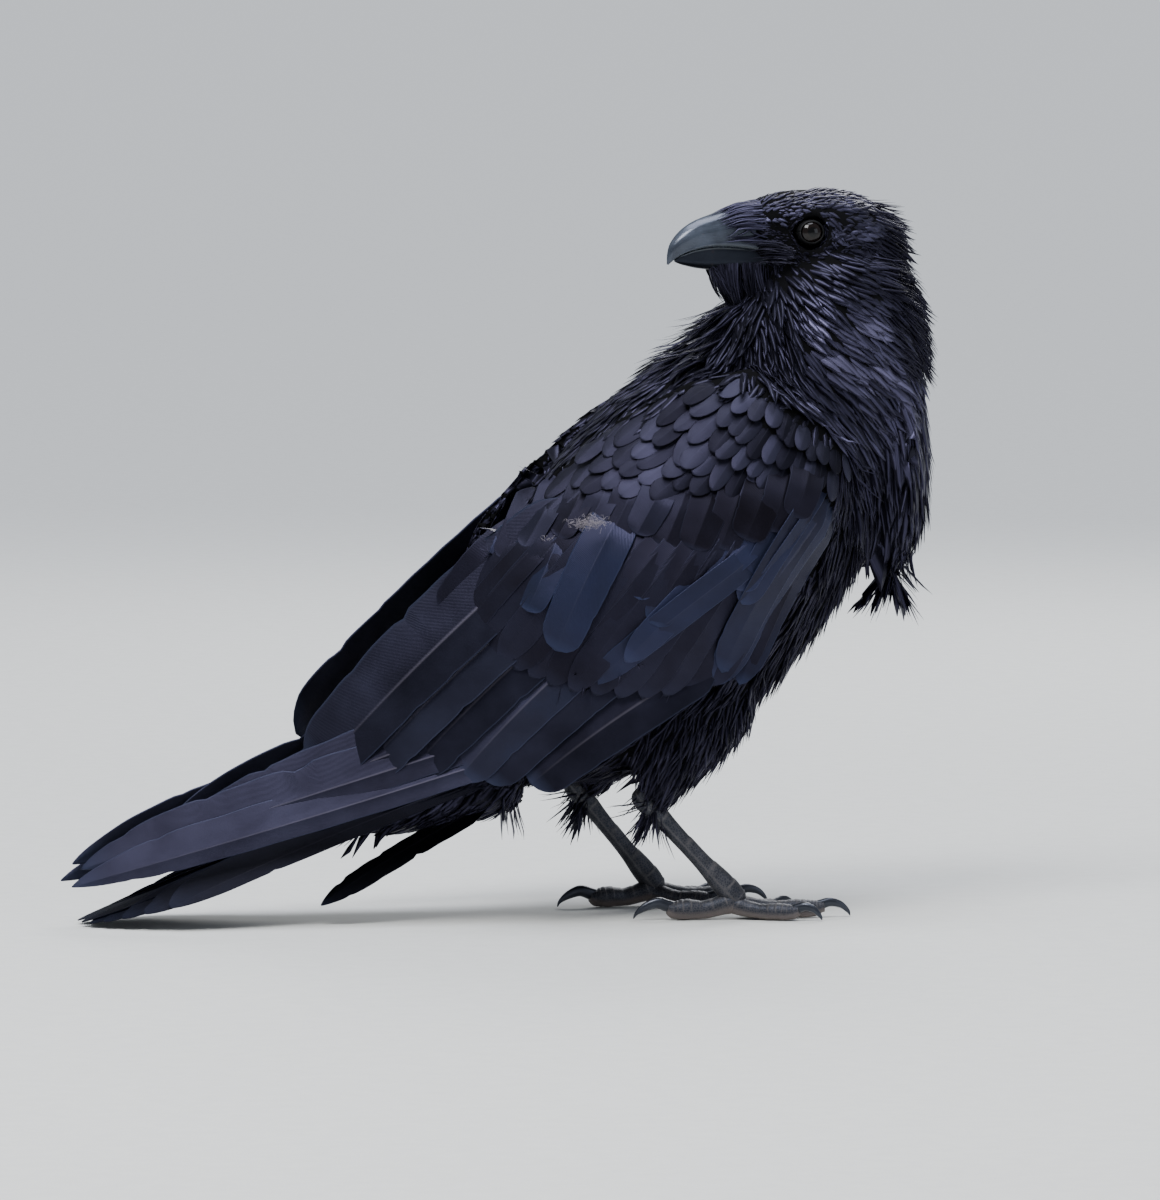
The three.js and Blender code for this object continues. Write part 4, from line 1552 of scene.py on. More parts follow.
    def build(self) -> list[bpy.types.Object]:
        """Builds the wing's large feathers."""
        name, seed = self.side.label, 40 + self.side.value
        made = [self._arm(seed), self._hand(seed + 2)]
        surface = solid_tree([f"wing_{name}_{part}" for part in ("shield", "secondaries", "primaries")])
        shares = np.linspace(0, 1, self.BASE_COUNT)
        roots, tips = (smooth_curve(np.array(line), shares) for line in (self.BASE_ROOTS, self.BASE_TIPS))
        base = [
            Laid(tuple(a), tuple(b), 18, -1.0 + 1.2 * t, (0.4, 0.55)[i % 2], bow=-3, pointed=0.4, hidden=24)
            for i, (a, b, t) in enumerate(zip(roots, tips, shares))
        ]
        # The far wing's top is seen edge-on, and keeps only the feathers that lie close.
        shown = -60 if self.side is Side.LEFT else -200
        for label, rows, finish in (
            ("base_coverts", base, self.median),
            ("greater_coverts", self.GREATER, self.greater),
            ("median_coverts", self.MEDIAN, self.median),
        ):
            coverts = Vanes(f"wing_{name}_{label}", seed + len(label))
            for one in rows:
                if one.root[0] > shown:
                    coverts.add(self._laid(surface, one))
            made.append(coverts.finish(finish, Slot.PLUMAGE))
        return made


@dataclass
class Tail:
    """The folded, wedge-shaped tail, twelve feathers in a closed fan, and one that has slipped."""

    finish: bpy.types.Material
    pairs: int = 6
    width: float = 27
    length: float = 228
    slope: float = 20.3
    fan: float = 6
    shortening: float = 38
    root: Place = (-82, 0, 80)
    loose: tuple[Place, Place, float] = ((-104, -14, 54), (-186, -24, 9), 17)

    def build(self) -> list[bpy.types.Object]:
        """Builds the tail."""
        fan = Vanes("tail_vanes", 7)
        for pair in reversed(range(self.pairs)):
            for side in (1, -1):
                place = pair / (self.pairs - 1)
                turn = math.radians(self.fan * place * side + side)
                slope = math.radians(self.slope - 0.6 * place)
                # The right one of the middle pair lies on top.
                lift = UP * (0.6 + 0.35 * (side < 0 and pair == 0))
                start = np.array(self.root) + [0, side * (2 + 12 * place), -6 * place]
                level = np.array([-math.cos(turn), math.sin(turn), 0]) * math.cos(slope)
                end = start + (self.length - self.shortening * place**1.6) * (level - UP * math.sin(slope))
                fan.add(blade(
                    tuple(start + lift), tuple(end + lift), self.width, (0.3, side * 0.35 * place, 1),
                    -3 * side * place, 0.8, lean=0.5 - 0.2 * side * place, pointed=0.45, ragged=1.2,
                    tone=0.2 + 0.5 * place, rows=60, camber=0.05,
                ))
        slipped = Vanes("tail_loose_vane", 9)
        start, end, width = self.loose
        slipped.add(blade(start, end, width, (0.3, -0.3, 1), 3, 0, pointed=0.9, ragged=1.2, tone=0.2))
        return [fan.finish(self.finish, Slot.FLIGHT, "tail"),
                slipped.finish(self.finish, Slot.FLIGHT, "tail_loose")]


# ---- Head ------------------------------------------------------------------------------------


@dataclass
class Bill:
    """The stout bill: a hooked upper half with a ridge and cutting edges, and the lower half."""

    finish: bpy.types.Material
    # The lower half's finish is a darker copy of the horn: painted shade.
    low_finish: bpy.types.Material
    # (forward, left, up, half height, half width) in the head's frame.
    upper: tuple[Place, ...] = (
        (14, 0, 1.6, 12.0, 10.9),
        (20, 0, 1.6, 11.5, 10.3),
        (33, 0, 1.7, 9.6, 8.5),
        (43, 0, 0.5, 7.6, 7.0),
        (50, 0, -1, 6.5, 5.7),
        (56, 0, -3.6, 5.4, 4.4),
        (60.8, 0, -7, 3.9, 3.0),
        (63.8, 0, -10.8, 2.2, 1.6),
        (65.8, 0, -14.6, 0.4, 0.35),
    )
    lower: tuple[Place, ...] = (
        (12, 0, -12.9, 5.5, 10.0),
        (18, 0, -13.1, 5.7, 9.3),
        (32, 0, -12.1, 5.6, 7.5),
        (43, 0, -11.7, 5.7, 5.9),
        (52, 0, -11.9, 4.5, 4.3),
        (58.5, 0, -12.4, 2.5, 2.6),
        (62, 0, -12.7, 0.9, 1.0),
    )
    # The powers of the sections' round side and flat side.
    ROUND = 2.0
    FLAT = 5.5
    EDGE_WIDE = 0.09

    @staticmethod
    def _ridge(share: Array, angle: Array) -> Array:
        """The upper half's ridge, the groove that runs forward from the nostril, and the lip."""
        slope = from_ridge(angle)
        ridge = 0.55 * bell(slope / 0.28)
        groove = -0.5 * bell((slope - 1.05) / 0.22) * smoothstep(0.75, 0.2, share)
        lip = 0.35 * bell((slope - 2.05) / 0.16) * smoothstep(1.0, 0.8, share)
        return (ridge + groove + lip) * smoothstep(1.0, 0.75, share)

    @staticmethod
    def _trough(share: Array, angle: Array) -> Array:
        """The lower half's flat sides."""
        return -0.3 * bell((from_ridge(angle) - 1.6) / 0.3) * smoothstep(0.95, 0.6, share)

    def build(self) -> list[bpy.types.Object]:
        """Builds both halves."""
        made = []
        for node, stations, power, low, relief, edge_at, finish in (
            ("bill_upper", self.upper, self.ROUND, self.FLAT, self._ridge, 2.2, self.finish),
            ("bill_lower", self.lower, 4.5, 2.1, self._trough, 0.9, self.low_finish),
        ):
            sweep = Sweep(stations, around=56, steps=9, power=power, low_power=low, relief=relief)
            rings, shares, angle = sweep.rings()
            edge = bell((from_ridge(angle)[None, :] - edge_at) / self.EDGE_WIDE)
            shell = Shell()
            shell.tube(from_head(rings), share=shares[:, None],
                       edge=edge * smoothstep(0.98, 0.85, shares)[:, None])
            made.append(carry(show(shell.mesh(f"{node}_horn"), finish), Slot.HORN, node))
        return made


@dataclass
class Eyes:
    """Both eyes, each a wet ball in a ring of bare lid."""

    lid: bpy.types.Material
    tilt: tuple[float, float] = (0.14, 0.06)
    around: int = 48
    # The lid's section: distance from the eye's axis and height over the eye's centre.
    profile: tuple[tuple[float, float], ...] = (
        (5.2, 4.6), (5.0, 5.2), (5.1, 5.6), (5.35, 5.7), (5.6, 5.45), (5.85, 4.9), (6.1, 4.2),
        (6.3, 3.4), (6.4, 2.0), (5.9, 1.0),
    )

    def _ball(self, side: Side, centre: Array, axis: Array, spoke: Array) -> bpy.types.Object:
        """Builds one eyeball round its axis."""
        polar = np.linspace(0.02, np.pi - 0.02, 30)[:, None, None]
        shell = Shell()
        shell.tube(from_head(centre + EYE_RADIUS * (np.sin(polar) * spoke + np.cos(polar) * axis)), share=0.0)
        gaze = axis[0] * FORWARD + axis[1] * LEFT + axis[2] * UP
        finish = EyeFinish(f"wet eye {side.label}", tuple(to_model(from_head(centre))), tuple(gaze)).make()
        return carry(show(shell.mesh(f"eye_{side.label}_ball"), finish), Slot.EYE, f"eye_{side.label}")

    def _lid(self, side: Side, centre: Array, axis: Array, turn: Array, spoke: Array) -> bpy.types.Object:
        """Builds one lid, a closed ring whose section runs round the eye's axis."""
        rng = np.random.default_rng(20 + side.value)
        # The lid is longer towards the front and back corners, and finely crinkled.
        wide = 1 + 0.05 * np.cos(2 * turn)
        rows = []
        for radius, height in self.profile:
            crinkle = 0.1 * smoothstep(5.2, 6.0, radius) * np.sin(turn * 17 + rng.uniform(0, 6))
            rows.append(centre + (radius * wide + crinkle)[:, None] * spoke
                        + (height + 0.5 * crinkle)[:, None] * axis)
        sections = np.stack(rows, axis=1)
        ring = Shell()
        ring.tube(from_head(np.concatenate([sections, sections[:1]])), share=0.3, across=0.0, tone=0.4,
                  crease=0.0, pad=0.0)
        return carry(show(ring.mesh(f"eyelid_{side.label}"), self.lid), Slot.EYE)

    def build(self) -> list[bpy.types.Object]:
        """Builds the eyes and lids."""
        made = []
        turn = 2 * np.pi * np.arange(self.around) / self.around
        for side in Side:
            centre = np.array(EYE_AT) * [1, side.value, 1]
            axis = unit(np.array([self.tilt[0], side.value, self.tilt[1]]))
            first = unit(np.cross(axis, UP))
            spoke = np.cos(turn)[:, None] * first + np.sin(turn)[:, None] * np.cross(axis, first)
            made += [self._ball(side, centre, axis, spoke), self._lid(side, centre, axis, turn, spoke)]
        return made


@dataclass
class FaceBristles:
    """Stiff bristles over the nostrils and along the gape, and soft locks under the chin."""

    nodes: BristleNodes
    stiff: bpy.types.Material
    pale: bpy.types.Material
    soft: bpy.types.Material
    upper: tuple[Place, ...] = Bill.upper

    def _over_bill(self, x: float, angle: float, off: float) -> Array:
        """A point over the upper half of the bill.

        Args:
            x: The distance forward in the head's frame.
            angle: The angle from the ridge, positive to the left.
            off: The height over the horn.

        Returns:
            The point in the head's frame.
        """
        rows = np.array(self.upper)
        z, deep, wide = (np.interp(x, rows[:, 0], rows[:, k]) for k in (2, 3, 4))
        power = Bill.FLAT if math.cos(angle) < 0 else Bill.ROUND
        y = superellipse(np.array(math.sin(angle)), power) * (wide + off)
        up = superellipse(np.array(math.cos(angle)), power) * (deep + off)
        return np.array([x, float(y), z + float(up)])

    def _nasal(self, rng: np.random.Generator) -> Array:
        """One bristle that lies forward over the nostril, close to the horn."""
        side = rng.choice((-1, 1))
        high = rng.random() ** 0.8
        angle = side * lerp(1.75, 0.12, high)
        start = rng.uniform(11, 25)
        end = min(start + rng.uniform(11, 21), lerp(39, 47.5, high) + rng.uniform(-3.5, 1.0))
        drift = side * rng.uniform(0.0, 0.28)
        off = rng.uniform(0.3, 1.9)
        points = []
        for s in np.linspace(0, 1, 8):
            height = off * (1 - 0.75 * s) + 0.8 * math.sin(math.pi * s) * off / 1.9 - 0.4 * (s == 0)
            turn = angle + drift * s * s - side * 0.1 * s
            points.append(self._over_bill(lerp(start, end, s), turn, height))
        return from_head(np.array(points))

    @staticmethod
    def _gape(rng: np.random.Generator) -> Array:
        """One bristle at the corner of the mouth."""
        side = rng.choice((-1, 1))
        x = rng.uniform(8, 17)
        z = rng.uniform(-15, -5)
        y = side * np.interp(x, [6, 18], [20.5, 16.8])
        reach = rng.uniform(9, 15)
        t = np.linspace(0, 1, 6)[:, None]
        end = np.array([x + reach, side * (9.6 + rng.uniform(0, 0.7)), z + rng.uniform(-1, 1.2)])
        line = np.array([x, y, z]) * (1 - t) + end * t
        return from_head(line + np.sin(np.pi * t) * [0, side * 1.2, 1.1])

    @staticmethod
    def _throat(rng: np.random.Generator, lock: tuple[float, float, Array]) -> Array:
        """One soft strand of a lock that hangs under the chin."""
        x_lock, y_lock, drift = lock
        x = float(np.clip(x_lock + rng.normal(0, 1.6), 6, 45))
        half = float(np.interp(x, [8, 20, 45], [13, 9, 4.2]))
        y = float(np.clip(y_lock + rng.normal(0, 0.12), -1, 1)) * half
        z = float(np.interp(x, [6, 20, 32, 45], [-17, -17.0, -16.4, -16.2])) + 0.03 * y * y
        reach = rng.uniform(20, 34) * float(np.interp(x, [6, 36, 45], [1.2, 0.8, 0.35]))
        end = np.array([x_lock - 4, y_lock * half * 0.9, z - reach]) + drift * [1.4, 1.4, 0.6]
        end[0] -= 0.25 * reach
        t = np.linspace(0, 1, 8)[:, None]
        line = lerp(np.array([x, y, z + 1.0]), end, t)
        return from_head(line + np.sin(np.pi * t) * [0.14 * reach, 0.1 * reach * np.sign(y), 0])

    def build(self) -> list[bpy.types.Object]:
        """Builds the bristles."""
        rng = np.random.default_rng(12)
        nasal = [self._nasal(rng) for _ in range(340)]
        gape = [self._gape(rng) for _ in range(90)]
        locks = [(rng.uniform(8, 45), rng.uniform(-1, 1), rng.normal(0, 1, 3)) for _ in range(90)]
        throat = [self._throat(rng, locks[rng.integers(len(locks))]) for _ in range(1100)]
        return [
            self.nodes.make("nasal_bristles", nasal, 0.5, self.stiff),
            self.nodes.make("gape_bristles", gape, 0.3, self.pale),
            self.nodes.make("throat_locks", throat, 0.5, self.soft),
        ]


@dataclass
class Down:
    """The wisps of pale down that show between the wing's feathers."""

    nodes: BristleNodes
    finish: bpy.types.Material
    # Each spot's middle, number of strands and size.
    spots: tuple[tuple[Place, int, float], ...] = (
        ((-69, -75.5, 189), 240, 6.0),
        ((-6, -75, 152), 20, 2.6),
        ((-88, -71, 182), 16, 3.0),
    )

    def build(self) -> list[bpy.types.Object]:
        """Builds the wisps."""
        rng = np.random.default_rng(31)
        lines = []
        t = np.linspace(0, 1, 8)[:, None]
        for centre, count, size in self.spots:
            for _ in range(count):
                start = np.array(centre) + rng.normal(0, size * 0.45, 3) * [1.3, 0.12, 0.4]
                away = unit(rng.normal(0, 1, 3) * [1, 0.2, 0.7] + [-0.3, -0.25, 0.1])
                curl = rng.normal(0, 1, 3) * [0.8, 0.2, 0.8]
                reach = size * rng.uniform(0.15, 0.55)
                lines.append(start + away * t * reach + curl * reach * 0.6 * np.sin(3.4 * t) * t)
        return [self.nodes.make("down_wisps", lines, 0.075, self.finish, 3)]


# ---- Legs ------------------------------------------------------------------------------------


@dataclass
class Leg:
    """One leg below the feathers: the shank with its scutes, four toes with pads, and claws."""

    side: Side
    ankle: tuple[float, float]
    foot: tuple[float, float]
    scales: bpy.types.Material
    horn: bpy.types.Material
    spread: float = 35
    scutes: float = 9.0

    # Turn from straight ahead, radius, reach, claw's reach and scutes.
    TOES = {
        "middle": (2, 4.4, 43, 14, 15),
        "inner": (-32, 4.0, 31, 12, 11),
        "outer": (27, 4.0, 32, 12, 12),
        "hind": (184, 4.6, 29, 17, 9),
    }
    # Share of the way from ankle to foot, half depth and half width.
    SHANK = (
        (-0.11, 2.2, 2.0), (-0.08, 4.2, 3.6), (-0.01, 5.2, 4.3), (0.08, 5.0, 4.2), (0.3, 4.0, 3.3),
        (0.65, 4.0, 3.4), (0.9, 5.4, 4.8), (1.05, 5.2, 5.2), (1.12, 3.6, 4.0),
    )
    # Share of a toe's reach, height over its radius, and the pads' radii of a front and a hind toe.
    PADS = (
        (-0.06, 3.2, 1.0, 1.0), (0.04, 2.5, 1.08, 1.08), (0.42, -0.2, 0.88, 0.9), (0.72, -0.4, 1.0, 1.12),
        (0.9, -0.4, 0.88, 0.95), (1.03, 0.5, 0.55, 0.55),
    )

    def _shank(self) -> bpy.types.Object:
        """Builds the shank."""
        y = self.side.value * self.spread
        (ax, az), (fx, fz) = self.ankle, self.foot
        stations = [(lerp(ax, fx, t), y, lerp(az, fz, t), deep, wide) for t, deep, wide in self.SHANK]

        def relief(share: Array, angle: Array) -> Array:
            """Scutes down the front, and a keel behind."""
            slope = from_ridge(angle)
            step = (share * self.scutes) % 1
            return 0.34 * smoothstep(1.9, 1.3, slope) * (0.6 - step) + 0.25 * bell((slope - np.pi) / 0.35)

        rings, shares, angle = Sweep(stations, around=32, steps=12, relief=relief).rings()
        slope = from_ridge(angle)[None, :]
        step = (shares[:, None] * self.scutes) % 1
        crease = bell((step - 0.03) / 0.05) * smoothstep(2.0, 1.5, slope) * 0.75
        crease = np.maximum(crease, 0.5 * bell((slope - 1.95) / 0.1))
        shell = Shell()
        shell.tube(rings, share=shares[:, None], crease=crease, pad=0.0)
        name = self.side.label
        return carry(show(shell.mesh(f"shank_{name}"), self.scales), Slot.SCALE, f"tarsus_{name}")

    def _line(self, toe: str) -> tuple[Callable[[float, float], Place], Place]:
        """The line of a toe on the ground.

        Args:
            toe: The toe's name.

        Returns:
            A function from reach and height to a place, and the direction of the toe's width.
        """
        turn = math.radians(self.TOES[toe][0] * self.side.value)
        x, y = self.foot[0], self.side.value * self.spread

        def at(reach: float, height: float) -> Place:
            """The place at that reach and height."""
            return (x + reach * math.cos(turn), y + reach * math.sin(turn), height)

        return at, (-math.sin(turn), math.cos(turn), 0.0)

    def _toe(self, foot: Shell, toe: str) -> None:
        """Adds a toe to the foot."""
        _, r, reach, _, scutes = self.TOES[toe]
        at, side = self._line(toe)
        stations = [(*at(reach * t, r + up), *(r * (back if toe == "hind" else front),) * 2)
                    for t, up, front, back in self.PADS]

        def relief(share: Array, angle: Array) -> Array:
            """Scutes over the toe, and round pads under it."""
            slope = from_ridge(angle)
            over = smoothstep(1.7, 1.1, slope) * 0.3 * (0.6 - (share * scutes) % 1)
            return over + smoothstep(1.6, 2.3, slope) * 0.35 * np.abs(np.sin(share * scutes * 0.42 * np.pi))

        rings, shares, angle = Sweep(stations, side, 28, 14, relief=relief).rings()
        rings[..., 2] = np.maximum(rings[..., 2], FLOOR)
        slope = from_ridge(angle)[None, :]
        crease = bell(((shares[:, None] * scutes) % 1 - 0.04) / 0.07) * smoothstep(1.7, 1.3, slope) * 0.8
        pad = smoothstep(1.55, 2.2, slope) * 0.85 * np.ones_like(shares)[:, None]
        foot.tube(rings, share=shares[:, None], crease=crease, pad=pad)

    def _claw(self, toe: str) -> bpy.types.Object:
        """Builds a toe's claw."""
        _, r, reach, claw, _ = self.TOES[toe]
        at, side = self._line(toe)
        big = 1.25 if toe == "hind" else 1.0
        stations = [
            (*at(reach - 3, r + 0.6), 2.2 * big, 1.7 * big),
            (*at(reach + claw * 0.05, r + 1.6), 2.3 * big, 1.75 * big),
            (*at(reach + claw * 0.34, r + 2.4 * big), 2.15 * big, 1.55 * big),
            (*at(reach + claw * 0.68, r + 1.1), 1.6 * big, 1.1 * big),
            (*at(reach + claw * 0.92, r - 1.8), 0.95, 0.7),
            (*at(reach + claw, 0.3), 0.25, 0.22),
        ]
        rings, shares, _ = Sweep(stations, side, 18, 6).rings()
        rings[..., 2] = np.maximum(rings[..., 2], FLOOR)
        nail = Shell()
        nail.tube(rings, share=shares[:, None], edge=0.0)
        name = f"claw_{self.side.label}_{toe}"
        return carry(show(nail.mesh(f"{name}_horn"), self.horn), Slot.CLAW, name)

    def build(self) -> list[bpy.types.Object]:
        """Builds the leg."""
        made = [self._shank()]
        foot = Shell()
        for toe in self.TOES:
            self._toe(foot, toe)
            made.append(self._claw(toe))
        name = self.side.label
        made.append(carry(show(foot.mesh(f"toes_{name}"), self.scales), Slot.SCALE, f"foot_{name}"))
        return made


# ---- Where the coat grows, and how it lies -----------------------------------------------------


class Plumage:
    """The regions of the coat and the lie of its feathers over the body."""

    # X and Z of the line from the elbow to the wrist over which the small coverts grow.
    COVERT_LINE = ((-110, -90, -70, -45, -20, 0, 26, 50), (190, 190, 196, 200, 197, 198, 204, 212))

    def __init__(self, skin: Skin) -> None:
        """Keeps the skin, whose labels say which solid a place belongs to.

        Args:
            skin: The skin.
        """
        self.index = {name: i for i, name in enumerate(skin.nodes)}
        self.face_label = skin.label[skin.triangles][:, 0]

    def on(self, *names: str) -> Array:
        """Which of the skin's triangles lie on the named solids, as 0 or 1."""
        wanted = [self.index[name] for name in names]
        return np.isin(self.face_label, wanted).astype(float)

    def over(self, *names: str) -> Callable[[Array, Array], Array]:
        """The region that covers the named solids."""
        return lambda points, normals: self.on(*names)

    def head_lie(self, points: Array, normals: Array) -> Array:
        """Backwards over the head, and down behind the cheek and at the nape."""
        x, y, z = in_head(points).T
        down = 0.12 + 0.5 * smoothstep(2, -14, z) + 1.0 * smoothstep(-20, -48, x)
        fan = 0.35 * smoothstep(10, 30, x) * np.sign(y) * smoothstep(0, 6, np.abs(y))
        # The feathers part before the eye and close again behind it.
        gap = np.maximum(np.hypot(x, z), 1)
        part = 3.0 * smoothstep(15, 6, gap) * x * z / gap**2
        return -FORWARD + (part - down)[:, None] * UP + fan[:, None] * LEFT

    def neck_lie(self, points: Array, normals: Array) -> Array:
        """Down the neck, winding round it as the head is turned, and hanging at the breast."""
        away = points[:, :2] - NECK_AXIS
        phi = np.arctan2(away[:, 1], away[:, 0])
        wind = np.stack([-np.sin(phi), np.cos(phi), np.zeros(len(phi))], axis=1)
        swirl = 1.4 * smoothstep(-4, 54, points[:, 0]) * (1 - 0.85 * smoothstep(66, 100, points[:, 0]))
        swirl = (swirl - 0.12) * smoothstep(212, 264, points[:, 2])
        back = smoothstep(236, 206, points[:, 2]) * smoothstep(70, 30, points[:, 0])
        return swirl[:, None] * wind - UP + back[:, None] * BODY_LIE * 1.5

    def body_lie(self, points: Array, normals: Array) -> Array:
        """Down the body towards the tail, and straighter down over the breast."""
        front = smoothstep(30, 80, points[:, 0])
        return BODY_LIE - front[:, None] * np.array([-0.45, 0, 0.5])

    def thigh_lie(self, points: Array, normals: Array) -> Array:
        """Down the thigh and a little back."""
        return np.broadcast_to(np.array([-0.42, 0.0, -0.9]), points.shape)

    def wing_lie(self, points: Array, normals: Array) -> Array:
        """Along the wing: flatter along its upper edge, and steeper at the wrist."""
        steep = smoothstep(-70, 55, points[:, 0])[:, None]
        return lerp(np.array([-0.72, 0, -0.69]), np.array([-0.5, 0, -0.87]), steep)

    @staticmethod
    def _off_eye(points: Array) -> Array:
        """Which points of the head are clear of the eyes."""
        x, y, z = in_head(points).T
        return ~((np.hypot(x, z) < EYE_BARE) & (np.abs(y) > 12))

    @staticmethod
    def _depth(points: Array) -> Array:
        """How far points lie in front of the plane through the body's middle."""
        return (points - BODY_MIDDLE) @ BODY_FRONT

    def wing(self, side: Side, lift: float) -> Callable[[Array, Array], Array]:
        """The part of a wing over its median coverts.

        Args:
            side: The wing's side.
            lift: How far the wing is lifted behind the shoulder.

        Returns:
            The region's function.
        """

        def region(points: Array, normals: Array) -> Array:
            """Points of the shield over a line from the wrist to the elbow."""
            x, _, z = points.T
            line = np.interp(x, *self.COVERT_LINE) + lift * smoothstep(90, 190, -x)
            return self.on(f"wing_{side.label}_shield") * (z > line) * (1 - self._wing_edge(points))

        return region

    @staticmethod
    def _wing_edge(points: Array) -> Array:
        """The strip along the wing's leading edge that the breast feathers overlap."""
        edge = np.interp(points[:, 2], (100, 125, 149, 178, 206, 218), (-40, 9, 35, 56, 63, 65))
        return (points[:, 0] > edge - 11) * (points[:, 2] < 214)

    def wing_edge(self, points: Array, normals: Array) -> Array:
        """The leading edge of both wings."""
        return self.on("wing_right_shield", "wing_left_shield") * self._wing_edge(points)

    def face(self, points: Array, normals: Array) -> Array:
        """The front of the head, short of the bill, the eyes and the throat."""
        x, _, z = in_head(points).T
        forehead = (z > 6) & (x < 27)
        return self.on("head") * (x > 5) * ~forehead * self._off_eye(points)

    def crown(self, points: Array, normals: Array) -> Array:
        """The crown."""
        x, _, z = in_head(points).T
        forehead = (z > 5) & (x < 28)
        above = z > -1 - 0.25 * np.minimum(x + 20, 0)
        return self.on("head") * ((x <= 5.5) | forehead) * (x > -34) * above * self._off_eye(points)

    def cheek(self, points: Array, normals: Array) -> Array:
        """The cheeks and the ear coverts."""
        x, _, z = in_head(points).T
        below = z <= -0.25 * np.minimum(x + 20, 0)
        return self.on("head") * (x <= 6) * (x > -34) * below * self._off_eye(points)

    def nape(self, points: Array, normals: Array) -> Array:
        """The back of the head and the neck behind it."""
        x, _, _ = in_head(points).T
        behind = self.on("head") * (x <= -32)
        neck = self.on("neck") * (points[:, 2] > 262) * (x < -26)
        return np.maximum(behind, neck)

    def hackles(self, points: Array, normals: Array) -> Array:
        """The throat and neck."""
        x, _, _ = in_head(points).T
        nape = (points[:, 2] > 268) * (x < -32)
        return self.on("neck") * ~nape

    def throat(self, points: Array, normals: Array) -> Array:
        """Under the chin, down to where the neck's hackles part."""
        x, _, z = points.T
        front = (x > -8) * (x < 34) * (z > 258) * (z < 296)
        return self.on("neck", "head") * front * (in_head(points)[:, 2] < -15)

    def throat_lie(self, points: Array, normals: Array) -> Array:
        """Straight down, fanning a little forwards under the chin."""
        lean = lerp(-0.3, 0.35, smoothstep(-4, 30, points[:, 0]))
        return lean[:, None] * [1.0, 0, 0] - UP

    def breast(self, points: Array, normals: Array) -> Array:
        """The breast, belly and flanks."""
        return self.on("trunk") * (self._depth(points) > -12)

    def mantle(self, points: Array, normals: Array) -> Array:
        """The back between the wings, and the rump."""
        x, _, z = points.T
        top = np.interp(x, (-106, -98, -77, -49, -17, 14, 40, 52), (166, 186, 212, 236, 254, 259, 249, 240))
        shoulder = self.on("wing_right_shield", "wing_left_shield") * (z > top - 10)
        return np.maximum(self.on("trunk") * (self._depth(points) <= -6), shoulder)


